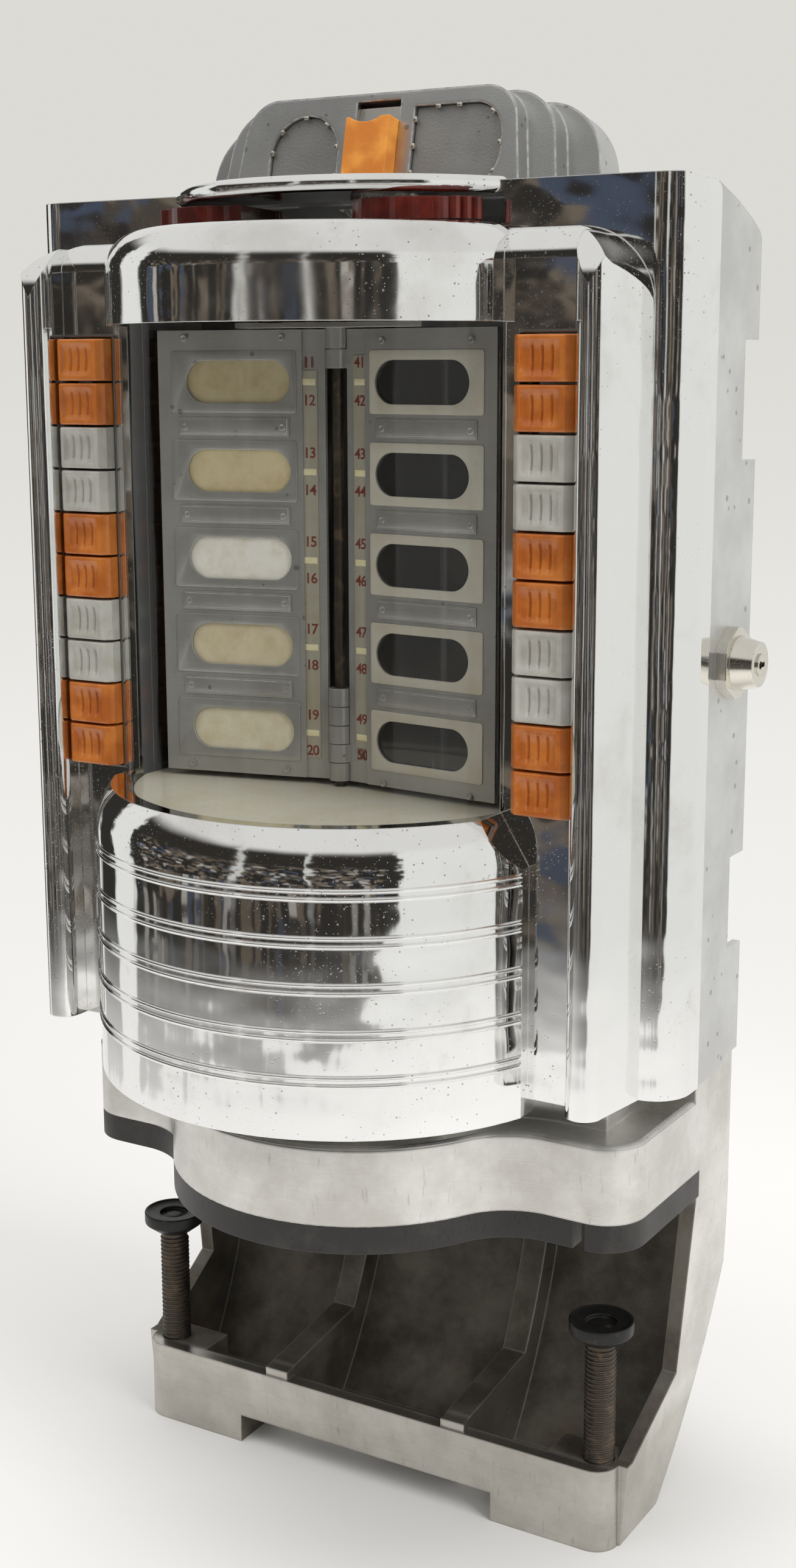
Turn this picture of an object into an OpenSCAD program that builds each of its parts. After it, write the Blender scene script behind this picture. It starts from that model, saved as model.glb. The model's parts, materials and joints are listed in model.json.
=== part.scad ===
// Remote song selector box on a counter clamp: twenty push buttons, turning title pages, coin entry and key lock.
// X runs across the front, the front faces -Y, Z is up and the feet stand on z = 0.

/* [Buttons] */
// Buttons in each column
button_rows = 10; // [6:2:12]
// Height of one button place
button_pitch = 16.8; // [15:0.1:19]
// Width of a button
button_w = 23; // [16:0.5:24]
// Gap between neighbouring buttons
button_gap = 0.9; // [0.6:0.1:2]
// Middle of a button column from the middle of the box
column_x = 100.5; // [98:0.5:108]
// Travel of a button when pressed
button_travel = 3.5; // [2:0.1:4]
// How far a button stands out of its panel
button_proud = 8; // [5:0.5:10]

/* [Cover] */
// Width over the rear step of the cover
body_w = 288; // [280:1:330]
// Width over the front step of the cover
shell_w = 260; // [258:1:276]
// Wall of the cover casting
cover_t = 2.4; // [1.8:0.1:3]
// Height from the bottom of the cover to the lowest button
apron_h = 107.8; // [90:0.5:130]
// Height of the front step above the top button
shell_rise = 36; // [28:0.5:38]
// Height of the deck above the front step
deck_rise = 17; // [16:0.5:28]
// Outer radius of the cap over the window
cap_r = 90; // [90:0.5:94]
// Outer radius of the drum below the window
drum_r = 100; // [99:0.5:106]
// How far the drum hangs below the cover's edge
drum_drop = 6; // [2:0.5:10]
// Radius of the lip above the page levers
lip_r = 80; // [78:0.2:88]
// Thickness of the lip
lip_t = 6; // [4:0.5:8]
// Distance between the ribs of the drum
rib_pitch = 17.1; // [14:0.1:18]

/* [Window and pages] */
// Wall of the clear window
window_t = 2.3; // [1.5:0.1:3]
// Reach of a title page from its hinge
page_reach = 74; // [66:0.5:75]
// Thickness of a title page
page_t = 2.4; // [2:0.1:3]
// Rest angle of the left page from straight across
left_rest = 11; // [9:1:13]
// Rest angle of the right page from straight across
right_rest = 7; // [6:1:10]
// Radius of the hinge spindle
spindle_r = 2; // [1.5:0.1:2.5]
// Turns of a page for one turn of its lever
page_ratio = 5; // [5:1:6]
// Teeth on the pinion of a page
pinion_teeth = 20; // [18:1:22]

/* [Rear housing] */
// How far the sides of the housing lie inside those of the cover
housing_inset = 1; // [0.5:0.1:2]
// Sheet of the rear housing
housing_t = 2; // [1.5:0.1:3]
// Depth of the housing behind the cover
housing_d = 28; // [26:0.5:34]
// How far the rear lugs stand out behind the back
lug_d = 13; // [8:0.5:16]

/* [Coin head] */
// Height of the coin head
head_h = 37; // [32:0.5:44]
// Width of the front step of the coin head at its foot
head_w = 126; // [118:1:140]
// How much each step behind is wider, on each side
head_step = 11.5; // [6:0.5:14]
// Width of the coin slot guide
guide_w = 19; // [16:0.5:24]

/* [Clamp bracket] */
// Height of the lower jaw's front wall
jaw_h = 35; // [30:0.5:45]
// Clear height between the lower jaw and the rubber edge
jaw_gap = 101.5; // [90:0.5:130]
// Exposed height of the rubber edge
rubber_h = 11; // [8:0.5:14]
// Height of the upper jaw's skirt
skirt_h = 31.5; // [26:0.5:40]
// Height of the pedestal between the skirt and the box
neck_h = 20; // [14:0.5:26]
// Wall of the bracket casting
jaw_t = 6.5; // [5:0.5:8]
// Half width of the bracket at the skirt
skirt_half = 128; // [126:0.5:134]
// Half width of the lower jaw
tray_half = 115.5; // [114:0.5:122]
// Height of the recess between the front feet
foot_gap = 12.5; // [8:0.5:16]

/* [Clamp screws] */
// Diameter of a clamp screw
screw_d = 12.7; // [10:0.1:14]
// Distance of a clamp screw from the middle
screw_x = 105; // [104:0.5:106]
// Diameter of a swivel pad
pad_d = 26; // [20:0.5:26]
// Height of a swivel pad's top above the lower jaw
pad_rise = 60; // [40:1:62]

/* [Lock] */
// Diameter of the lock barrel
lock_d = 17.5; // [15:0.1:19]
// Height of the lock above the bottom of the box
lock_rise = 158; // [150:1:170]

/* [Hidden] */
$fn = 64;
e = 0.01;
gap = 0.3;                       // clearance between pieces that move past each other
fit = 0.05;                      // radial clearance of a shaft in its bore
seat_y = -76;                    // front faces of the buttons
panel_y = seat_y + button_proud; // front face of the button panels
seam_y = -26;                    // joint of the cover and the rear housing
step_y = seam_y - 23;            // front face of the cover's rear step
axis_y = -39;                    // axis of the window, cap and drum
spindle_y = -46;                 // axis of the page hinge
back_y = seam_y + housing_d;     // outer face of the housing's back

rubber_z = jaw_h + jaw_gap;
skirt_z = rubber_z + rubber_h;
rim_z = skirt_z + skirt_h;
box_z = rim_z + neck_h;
column_z = box_z + apron_h;
column_h = button_rows * button_pitch;
column_top = column_z + column_h;
window_z0 = column_z - 3;
window_z1 = column_top + 4;
shell_z = column_top + shell_rise;
cap_z = shell_z + 2;
deck_z = shell_z + deck_rise;
lip_z = deck_z + 1.5;
lip_under = lip_z - lip_t;
head_z = deck_z + head_h;
drum_z = box_z - drum_drop;

shell_half = shell_w / 2;
body_half = body_w / 2;
housing_half = body_half - housing_inset;
slot_w = button_w + 2;           // slot in the panel, with room for the bezel
slot_in = column_x - slot_w / 2;
slot_out = column_x + slot_w / 2;
pillar_w = shell_half - 3.5 - slot_out;
pillar_r = pillar_w / 2;
pillar_front = seat_y - 4.6;
window_half = slot_in - 6.3;
window_r = cap_r - cover_t - gap;
body_r = 15;
shell_corner = 28;
panel_shoulder = 11;
cap_round = 15;                  // round crown of the cap
pillar_shoulder = 21;

page_bottom = column_z - 1;
page_top = column_top + 2.5;
page_gap_deg = 12;               // angle between one page and the next
page_swing = 180 - left_rest - right_rest - page_gap_deg;
lever_swing = page_swing / page_ratio;
card_pitch = 2 * button_pitch;
pivot_x = 34;
pivot_y = -40;
pivot_d = sqrt(pivot_x * pivot_x + (pivot_y - spindle_y) * (pivot_y - spindle_y));
mesh_deg = 180 + atan((pivot_y - spindle_y) / pivot_x);
ring_pitch_r = pivot_d * page_ratio / (page_ratio - 1);
pinion_r = pivot_d / (page_ratio - 1);
tooth_deg = 360 / pinion_teeth;
frame_z = window_z1 - 1;         // underside of the page frame's top arm
frame_t = 2;
gear_z = [frame_z + frame_t + 0.5, frame_z + frame_t + 5.5];
gear_t = 3;
lever_top = lip_under - 2;
lever_t = 7.5;
lever_gap = 72;                  // half width of the gap that the levers swing in
lever_x = 40;                    // middle of a lever's fan-shaped thumb piece
lever_y = -50;
lever_r = 28;                    // reach of the thumb piece
tube_r = 3.2;                    // inner hinge tube, of the right page
sleeve_r = 4.6;                  // outer hinge tube, of the left page
knuckle_h = 7;

lock_y = back_y - 8;
barrel_r = 5.8;                  // barrel of the lock inside the housing
plug_r = 4;
lock_z = box_z + lock_rise;
chassis_y = back_y - 14;
chassis_half = column_x + 11.5;
comb_y = seat_y + 25;
stem_end = seat_y + 35;
stack_y = stem_end + button_travel + 0.5;

jaw_front = -35;                 // front face of the lower jaw
side_y = 18;                     // front edges of the bracket's side walls
wall_y = 69;                     // outer face of the bracket's rear wall
screw_y = jaw_front + 12;
pad_z = jaw_h + pad_rise;
pad_h = 9;
boss_h = 12;
upstand_half = 100;              // half width of the bracket's upstand behind the housing
upstand_t = 7;
upstand_h = 62;
bolt_x = 70;                     // bolts between the upstand and the housing
bolt_rise = 20;
bolt_pitch = 25;
bolt_z = [box_z + bolt_rise, box_z + bolt_rise + bolt_pitch];

coin_w = 26;                     // width of the coin way
chute_low = 94;                  // foot of the upright chute above the bottom of the box
chute_bend = 26;                 // its bend below the deck
bin_half = 54;                   // half width of the coin bin
bin_y = -114;                    // front face of the coin bin
bin_d = 42;
bin_h = 62;
lamp_half = 44;                  // half length of the lamp tube
lamp_y = axis_y - 50;
lamp_r = 6;
wheel_x = -56;                   // credit wheel, on its shaft in front of the chassis
wheel_rise = 48;
wheel_r = 20;
wheel_gap = 9;
shaft_r = 2.5;
shaft_l = 16;
coil_x = 4;                      // coil that steps the wheel
coil_rise = 26;
coil_r = 14;
coil_l = 34;
pawl_rise = coil_rise + 18;
strip_x = 42;                    // terminal strip
strip_rise = 30;
strip_w = 50;
strip_d = 12;
strip_h = 16;
pole_pitch = 7.6;
grommet_x = -86;                 // hole of the cable, with its grommet
grommet_rise = 131;
grommet_r = 9;
cable_r = 5;

function button_z(i) = column_z + (i + 0.5) * button_pitch;
function arc(cx, cy, r, a0, a1, n) = [for (i = [0:n]) [cx + r * cos(a0 + (a1 - a0) * i / n), cy + r * sin(a0 + (a1 - a0) * i / n)]];

// ---- outlines --------------------------------------------------------------------------------

module both() {
    children();
    mirror([1, 0, 0]) children();
}

// Plan of the front step between the pillars, drawn in by t
module panel_plan(t) {
    translate([-slot_out - 3, panel_y + t]) square([2 * slot_out + 6, step_y + 6 - panel_y - t]);
}

// Plan of both pillars, drawn in by t
module pillar_plan(t) {
    back = step_y + 6;
    both() {
        translate([slot_out + pillar_r, pillar_front + pillar_r]) circle(pillar_r - t);
        polygon([[slot_out + t, panel_y + 2], [slot_out + t, pillar_front + pillar_r],
            [slot_out + 2 * pillar_r - t, pillar_front + pillar_r], [shell_half - t, step_y], [shell_half - t, back],
            [slot_out + t, back]]);
    }
}

module shell_plan(t) {
    panel_plan(t);
    pillar_plan(t);
}

// Plan of the rear step, drawn in by t
module body_plan(t) {
    both() translate([body_half - body_r, step_y + body_r]) circle(body_r - t);
    translate([-body_half + body_r, step_y + t]) square([2 * (body_half - body_r), seam_y - step_y - t]);
    translate([-body_half + t, step_y + body_r]) square([2 * (body_half - t), seam_y - step_y - body_r]);
}

// Upright rectangle with round top corners, from z0 to z1, x to both sides
module arch_face(x, z0, z1, r) {
    both() translate([x - r, z1 - r]) circle(r);
    translate([-x, z0]) square([2 * x, z1 - r - z0]);
    translate([-x + r, z0]) square([2 * (x - r), z1 - z0]);
}

// Extrudes a face drawn in X and Z backwards from y0 to y1
module face_block(y0, y1) {
    translate([0, y1, 0]) rotate([90, 0, 0]) linear_extrude(y1 - y0) children();
}

// Extrudes a side profile drawn in Y and Z across the width, from x0 to x1
module side_block(x0, x1) {
    translate([x0, 0, 0]) rotate([90, 0, 90]) linear_extrude(x1 - x0) children();
}

// Extrudes a plan up to the top of the front step, with a round shoulder of radius r above its front
module shoulder_block(t, foot, front, r) {
    intersection() {
        translate([0, 0, foot]) linear_extrude(shell_z - t - foot) children();
        side_block(-body_half, body_half) {
            translate([front + r, shell_z - r]) circle(r - t);
            translate([front - 1, foot - 1]) square([100, shell_z - r - foot + 1]);
            translate([front + r, foot - 1]) square([100, shell_z - t - foot + 1]);
        }
    }
}

// Solid of the front step: panels and pillars, with round top corners
module shell_solid(t, foot) {
    intersection() {
        union() {
            shoulder_block(t, foot, panel_y, panel_shoulder) panel_plan(t);
            shoulder_block(t, foot, pillar_front, pillar_shoulder) pillar_plan(t);
        }
        face_block(seat_y - 20, step_y + 10) arch_face(shell_half - t, foot - 1, shell_z - t, shell_corner - t);
    }
}

module body_solid(t, foot) {
    intersection() {
        translate([0, 0, foot]) linear_extrude(deck_z - t - foot) body_plan(t);
        face_block(step_y - 10, seam_y + (t > 0 ? 10 : 0)) arch_face(body_half - t, foot - 1, deck_z - t, 6 - t);
    }
}

// Cap over the window, turned about the window's axis
module cap_solid(t) {
    r = cap_round;
    intersection() {
        translate([0, axis_y, 0]) rotate_extrude($fn = 96) {
            translate([0, window_z1]) square([cap_r - t, cap_z - r - window_z1]);
            translate([0, window_z1]) square([cap_r - r, cap_z - t - window_z1]);
            translate([cap_r - r, cap_z - r]) circle(r - t);
        }
        translate([-window_half - 0.3 + t, -200, 0]) cube([2 * (window_half + 0.3 - t), 200 + panel_y + 5, 700]);
    }
}

// Drum below the window; above its first rib it draws in on all sides towards the window
drum_arc = 30;
drum_half = slot_in + 6;

module drum_solid(t) {
    top = window_z0 + 2;
    knee = drum_z + 94;
    foot = drum_z - t;
    intersection() {
        translate([0, axis_y, 0]) rotate_extrude($fn = 96) {
            translate([0, foot]) square([drum_r - t, knee - foot]);
            intersection() {
                translate([drum_r - drum_arc, knee]) circle(drum_arc - t);
                translate([drum_r - drum_arc, knee]) square([drum_arc, top - t - knee]);
            }
            translate([0, foot]) square([drum_r - drum_arc, top - t - foot]);
        }
        face_block(-200, panel_y + 5) polygon([[-drum_half + t, foot - 1], [-drum_half + t, knee],
            [-window_half - 0.5 + t, top], [window_half + 0.5 - t, top], [drum_half - t, knee], [drum_half - t, foot - 1]]);
    }
}

// Double raised lines round the drum
module drum_ribs() {
    intersection() {
        translate([0, axis_y, 0]) rotate_extrude($fn = 96)
            for (i = [0:4], s = [-1.5, 1.5])
                translate([drum_r - 0.2, drum_z + 22 + i * rib_pitch + s]) circle(0.8, $fn = 16);
        translate([-drum_half, -200, 0]) cube([2 * drum_half, 200 + panel_y, 700]);
    }
}

module lip_solid() {
    intersection() {
        translate([0, lip_r - 90.7, 0]) rotate_extrude($fn = 96) {
            translate([0, lip_under]) square([lip_r - lip_t / 2, lip_t]);
            translate([lip_r - lip_t / 2, lip_under + lip_t / 2]) circle(lip_t / 2, $fn = 24);
        }
        translate([-body_half, -200, lip_under - 1]) cube([body_w, 200 + step_y + 3, lip_t + 2]);
    }
}

// ---- cover and window ------------------------------------------------------------------------

module front_cover() color([0.85, 0.86, 0.88]) {
    difference() {
        union() {
            shell_solid(0, box_z);
            body_solid(0, box_z);
            cap_solid(0);
            drum_solid(0);
            drum_ribs();
            lip_solid();
        }
        shell_solid(cover_t, box_z - 1);
        body_solid(cover_t, box_z - 1);
        cap_solid(cover_t);
        drum_solid(cover_t);
        // the drum and cap stay open to the inside
        intersection() {
            translate([0, axis_y, box_z - 1]) cylinder(r = window_r + gap, h = window_z1 - box_z + cover_t);
            translate([-window_half, -200, box_z - 1]) cube([2 * window_half, 220, 500]);
        }
        translate([-body_half + cover_t, seam_y - 5, box_z - 1])
            cube([body_w - 2 * cover_t, 6, shell_z - box_z]);
        // slots of the two button columns
        both() translate([slot_in, panel_y - 1, column_z - 1]) cube([slot_w, 6, column_h + 2]);
        // gap in which the page levers swing
        translate([-lever_gap, step_y - 6, cap_z + 0.2]) cube([2 * lever_gap, 12, lip_under - cap_z - 0.2]);
        // underside of the drum is open
        translate([0, axis_y, drum_z - 1]) intersection() {
            cylinder(r = drum_r - cover_t, h = 12);
            translate([-drum_half + cover_t, -200, 0]) cube([2 * (drum_half - cover_t), 171, 12]);
        }
    }
    // catch for the lock's cam
    translate([body_half - 11, seam_y - 6, lock_z + 12]) cube([9, 5, 14]);
    translate([body_half - 11, seam_y - 6, lock_z + 12]) cube([2, back_y - housing_t - 0.5 - seam_y + 6, 14]);
    translate([side_x - 15, back_y - housing_t - 1.7, lock_z + 12]) cube([body_half - side_x + 5, 1.2, 14]);
}

module window() color([0.8, 0.9, 0.92, 0.35]) {
    difference() {
        translate([0, axis_y, window_z0 - 5]) cylinder(r = window_r, h = window_z1 - window_z0 + 6);
        translate([0, axis_y, window_z0 - 6]) cylinder(r = window_r - window_t, h = window_z1 - window_z0 + 12);
        translate([-200, panel_y + 1.5, 0]) cube([400, 300, 700]);
        both() translate([window_half - gap, -200, 0]) cube([100, 300, 700]);
    }
}

module bezel(x) translate([x, 0, 0]) {
    difference() {
        translate([-slot_w / 2 + 0.1, panel_y - 1, column_z - 0.9]) cube([slot_w - 0.2, cover_t + 1, column_h + 1.8]);
        translate([-button_w / 2 - gap, panel_y - 2, column_z - 0.2]) cube([button_w + 2 * gap, 6, column_h + 0.4]);
    }
}

module bezel_left() color([0.75, 0.76, 0.78]) bezel(-column_x);

module bezel_right() color([0.75, 0.76, 0.78]) bezel(column_x);

// ---- buttons ---------------------------------------------------------------------------------

// Face in plan: bevelled sides, a shallow dish and three grooves
module button_plan() {
    w = button_w / 2;
    bevel = 2.6;
    back = panel_y + cover_t + gap;
    difference() {
        polygon([[-w, back], [-w, seat_y + bevel], [-w + 1.6, seat_y + 0.5], [-w + bevel + 1, seat_y],
            [w - bevel - 1, seat_y], [w - 1.6, seat_y + 0.5], [w, seat_y + bevel], [w, back]]);
        translate([0, seat_y - 29.2]) circle(30, $fn = 96);
        for (x = [-3.6, 0, 3.6]) translate([x, seat_y + 0.6]) circle(0.75, $fn = 16);
    }
}

module button(side, i) translate([side * column_x, 0, button_z(i) - (button_pitch - button_gap) / 2]) {
    h = button_pitch - button_gap;
    back = panel_y + cover_t + gap;
    linear_extrude(h) button_plan();
    translate([-slot_w / 2 - 1.2, back - e, 0]) cube([slot_w + 2.4, 1.5, h]);
    translate([-3, back, h / 2 - 2]) cube([6, stem_end - back, 4]);
}

function button_color(i) = (floor(i / 2) % 2 == 0) ? [0.86, 0.42, 0.12] : [0.86, 0.87, 0.84];

module button_l01() color(button_color(0)) button(-1, button_rows - 1);
module button_l02() color(button_color(1)) button(-1, button_rows - 2);
module button_l03() color(button_color(2)) button(-1, button_rows - 3);
module button_l04() color(button_color(3)) button(-1, button_rows - 4);
module button_l05() color(button_color(4)) button(-1, button_rows - 5);
module button_l06() color(button_color(5)) button(-1, button_rows - 6);
module button_l07() color(button_color(6)) button(-1, button_rows - 7);
module button_l08() color(button_color(7)) button(-1, button_rows - 8);
module button_l09() color(button_color(8)) button(-1, button_rows - 9);
module button_l10() color(button_color(9)) button(-1, button_rows - 10);
module button_r01() color(button_color(0)) button(1, button_rows - 1);
module button_r02() color(button_color(1)) button(1, button_rows - 2);
module button_r03() color(button_color(2)) button(1, button_rows - 3);
module button_r04() color(button_color(3)) button(1, button_rows - 4);
module button_r05() color(button_color(4)) button(1, button_rows - 5);
module button_r06() color(button_color(5)) button(1, button_rows - 6);
module button_r07() color(button_color(6)) button(1, button_rows - 7);
module button_r08() color(button_color(7)) button(1, button_rows - 8);
module button_r09() color(button_color(8)) button(1, button_rows - 9);
module button_r10() color(button_color(9)) button(1, button_rows - 10);

module button_combs() color([0.6, 0.6, 0.62]) {
    both() {
        difference() {
            translate([column_x - 13, comb_y, column_z - 6]) cube([26, 2, column_h + 12]);
            for (i = [0:button_rows - 1])
                translate([column_x - 3.3, comb_y - 1, button_z(i) - 2.3]) cube([6.6, 4, 4.6]);
        }
        // legs back to the chassis plate
        for (z = [column_z - 6, column_top + 3])
            translate([column_x - 13, comb_y + 2, z]) cube([26, chassis_y - comb_y - 2, 3]);
    }
}

module switch_stacks() color([0.45, 0.27, 0.16]) {
    both() {
        translate([column_x - 10, stack_y + 8, column_z]) cube([20, chassis_y - stack_y - 8, column_h]);
        for (i = [0:button_rows - 1])
            translate([column_x - 5, stack_y, button_z(i) - 1]) cube([10, 8, 2]);
    }
}

// ---- title pages -----------------------------------------------------------------------------

// Page leaf lying along +X from the hinge, with round-ended windows and pockets for the cards
module leaf() {
    difference() {
        translate([14, -page_t / 2, page_bottom]) cube([page_reach - 14, page_t, page_top - page_bottom]);
        for (i = [0:button_rows / 2 - 1]) {
            z = column_z + (i + 0.5) * card_pitch;
            for (x = [27, page_reach - 20])
                translate([x, 0, z]) rotate([90, 0, 0]) cylinder(r = 8, h = page_t + 2, center = true);
            translate([27, -page_t, z - 8]) cube([page_reach - 47, 2 * page_t, 16]);
            translate([17, -0.35, z - 12.5]) cube([page_reach - 16, 0.7, 25]);
        }
    }
    translate([sleeve_r - 0.8, -0.4, page_bottom]) cube([10.5 + e, 0.8, page_top - page_bottom]);
}

module tube(r_out, r_in, z0, z1) {
    translate([0, 0, z0]) difference() {
        cylinder(r = r_out, h = z1 - z0);
        translate([0, 0, -1]) cylinder(r = r_in, h = z1 - z0 + 2);
    }
}

// Leaf with the hinge line cut free, except at its own knuckles
module hinged_leaf(angle, knuckles, bore) translate([0, spindle_y, 0]) {
    difference() {
        rotate([0, 0, angle]) leaf();
        difference() {
            translate([0, 0, page_bottom - 1]) cylinder(r = sleeve_r + gap, h = page_top - page_bottom + 2);
            for (k = knuckles) translate([0, 0, k[0]]) cylinder(r = sleeve_r + 1, h = k[1] - k[0]);
        }
        for (k = knuckles) translate([0, 0, k[0] - 1]) cylinder(r = sleeve_r - 0.5, h = k[1] - k[0] + 2);
    }
    for (k = knuckles) tube(sleeve_r, bore, k[0], k[1]);
}

// Straight-sided gear teeth; the tips of the ring's teeth point inwards
module pinion_teeth_plan(phase) {
    m = 2 * pinion_r / pinion_teeth;
    circle(pinion_r - 0.75 * m);
    for (i = [0:pinion_teeth - 1]) rotate(phase + i * tooth_deg)
        polygon([[pinion_r - m, -0.4 * m], [pinion_r - m, 0.4 * m], [pinion_r + 0.5 * m, 0.26 * m],
            [pinion_r + 0.5 * m, -0.26 * m]]);
}

module ring_plan(mid, first, last) {
    m = 2 * pinion_r / pinion_teeth;
    step = tooth_deg / page_ratio;
    root = ring_pitch_r + 0.75 * m;
    rim = ring_pitch_r + 0.75 * m + 2.6;
    a0 = mid + first;
    a1 = mid + last;
    polygon(concat(arc(0, 0, root, a0, a1, 24), arc(0, 0, rim, a1, a0, 24)));
    // teeth sit half a step off the line of centres
    for (i = [ceil((first + 21) / step):floor((last - 21) / step)]) rotate(mid + (i + 0.5) * step)
        polygon([[root + 0.3, -0.42 * m], [root + 0.3, 0.42 * m], [ring_pitch_r - 0.5 * m, 0.24 * m],
            [ring_pitch_r - 0.5 * m, -0.24 * m]]);
    for (a = [a0, a1]) rotate(a) translate([3, -2]) square([ring_pitch_r, 4]);
}

left_knuckles = [[page_top - knuckle_h, page_top], [page_bottom, page_bottom + knuckle_h]];
right_knuckles = [[page_top - 2 * knuckle_h - gap, page_top - knuckle_h - gap],
    [page_bottom + knuckle_h + gap, page_bottom + 2 * knuckle_h + gap]];

module page_left() color([0.62, 0.63, 0.65]) {
    hinged_leaf(180 + left_rest, [left_knuckles[1]], spindle_r + fit);
    hinged_leaf(180 + left_rest, [left_knuckles[0]], tube_r + fit);
    translate([0, spindle_y, 0]) {
        tube(sleeve_r, tube_r + fit, page_top - e, gear_z[0] + gear_t);
        translate([0, 0, gear_z[0]]) linear_extrude(gear_t) difference() {
            pinion_teeth_plan(360 - mesh_deg);
            circle(sleeve_r - 0.3);
        }
    }
}

module page_right() color([0.62, 0.63, 0.65]) {
    hinged_leaf(-right_rest, right_knuckles, spindle_r + fit);
    translate([0, spindle_y, 0]) {
        tube(tube_r, spindle_r + fit, right_knuckles[0][1] - e, gear_z[1] + gear_t);
        translate([0, 0, gear_z[1]]) linear_extrude(gear_t) difference() {
            pinion_teeth_plan(mesh_deg);
            circle(tube_r - 0.3);
        }
    }
}

module cards(angle) translate([0, spindle_y, 0]) rotate([0, 0, angle])
    for (i = [0:button_rows / 2 - 1])
        translate([17.2, -0.25, column_z + (i + 0.5) * card_pitch - 12.3]) cube([page_reach - 19, 0.5, 24.6]);

module cards_left() color([0.86, 0.8, 0.56]) cards(180 + left_rest);

module cards_right() color([0.12, 0.12, 0.12]) cards(-right_rest);

module parked_pages() color([0.5, 0.51, 0.53]) {
    first = page_bottom + 2 * knuckle_h + 2 * gap;
    for (k = [[180 + left_rest - page_gap_deg, 0], [page_gap_deg - right_rest, 1], [2 * page_gap_deg - right_rest, 2]])
        hinged_leaf(k[0], [[first + k[1] * (knuckle_h + gap), first + k[1] * (knuckle_h + gap) + knuckle_h]],
            spindle_r + fit);
}

module spindle() color([0.3, 0.3, 0.31]) {
    translate([0, spindle_y, page_bottom - 6]) cylinder(r = spindle_r, h = gear_z[1] + gear_t + 1 - page_bottom + 6);
}

// Steel frame that carries the spindle and the lever pivots
module page_frame() color([0.42, 0.42, 0.44]) {
    low = page_bottom - 4;
    difference() {
        union() {
            translate([-pivot_x - 7, spindle_y - 8, frame_z]) cube([2 * pivot_x + 14, 26, frame_t]);
            translate([-12, -32, low]) cube([24, 2, frame_z - low + frame_t]);
            translate([-12, spindle_y - 8, low - frame_t]) cube([24, 24, frame_t]);
            for (z = [low + 8, frame_z - 14]) translate([-12, -30, z]) cube([24, chassis_y + 30, 4]);
        }
        translate([0, spindle_y, frame_z - 1]) cylinder(r = sleeve_r + gap, h = frame_t + 2);
        translate([0, spindle_y, low - frame_t - 1]) cylinder(r = spindle_r + fit, h = frame_t + 2);
    }
    both() translate([pivot_x, pivot_y, frame_z + frame_t - e]) cylinder(r = 2, h = lever_top - frame_z - frame_t - 1);
}

// Pale sill inside the foot of the window; it lies on the frame's lower arm
module window_sill() color([0.86, 0.84, 0.76]) {
    r = window_r - window_t - gap;
    half = window_half - 1;
    difference() {
        translate([0, axis_y, page_bottom - 4]) cylinder(r = r, h = 1.5);
        translate([-200, spindle_y + 10, 0]) cube([400, 200, 700]);
        both() translate([half, -200, 0]) cube([100, 300, 700]);
        translate([0, spindle_y, 0]) cylinder(r = spindle_r + gap, h = 700);
    }
}

// Thumb lever: hub, ring sector below, fan-shaped blade above; drawn for the right side
module lever(z) {
    fan = arc(lever_x, lever_y, lever_r, -125, -20, 24);
    translate([pivot_x, pivot_y, 0]) {
        difference() {
            union() {
                translate([0, 0, frame_z + frame_t + 0.3]) cylinder(r = 5, h = lever_top - frame_z - frame_t - 0.3);
                translate([0, 0, z]) linear_extrude(gear_t)
                    ring_plan(mesh_deg, -21, lever_swing + 21);
            }
            translate([0, 0, frame_z]) cylinder(r = 2 + fit, h = lever_top - frame_z - 0.6);
        }
    }
    translate([0, 0, lever_top - lever_t]) linear_extrude(lever_t) difference() {
        union() {
            polygon(concat([[30, -38]], fan, [[39, -38]]));
            for (a = [-20, -29, -38])
                translate([lever_x + lever_r * cos(a), lever_y + lever_r * sin(a)]) circle(2.2, $fn = 20);
        }
        translate([pivot_x, pivot_y]) circle(4.9);
    }
}

module lever_right() color([0.42, 0.1, 0.07]) lever(gear_z[1]);

module lever_left() color([0.42, 0.1, 0.07]) mirror([1, 0, 0]) lever(gear_z[0]);

// ---- rear housing and chassis ----------------------------------------------------------------

housing_z = deck_z - 2.3;        // top of the housing, at the seam

// Side profile of the housing with its lugs, drawn in by t
module housing_profile(t) {
    polygon([[seam_y, box_z + t], [seam_y, housing_z - t], [seam_y + 17 - t / 4, housing_z - 5 - t],
        [seam_y + 31 - t / 2, housing_z - 10.5 - t], [seam_y + 39 - t, housing_z - 14.5 - t],
        [seam_y + 41 - t, housing_z - 17 - t], [seam_y + 41 - t, box_z + t]]);
}

// The same, cut off at the back or d behind it
module housing_face(t, d) {
    intersection() {
        housing_profile(t);
        translate([seam_y - 1, box_z - 1]) square([back_y + d - t - seam_y + 1, 400]);
    }
}

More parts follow.
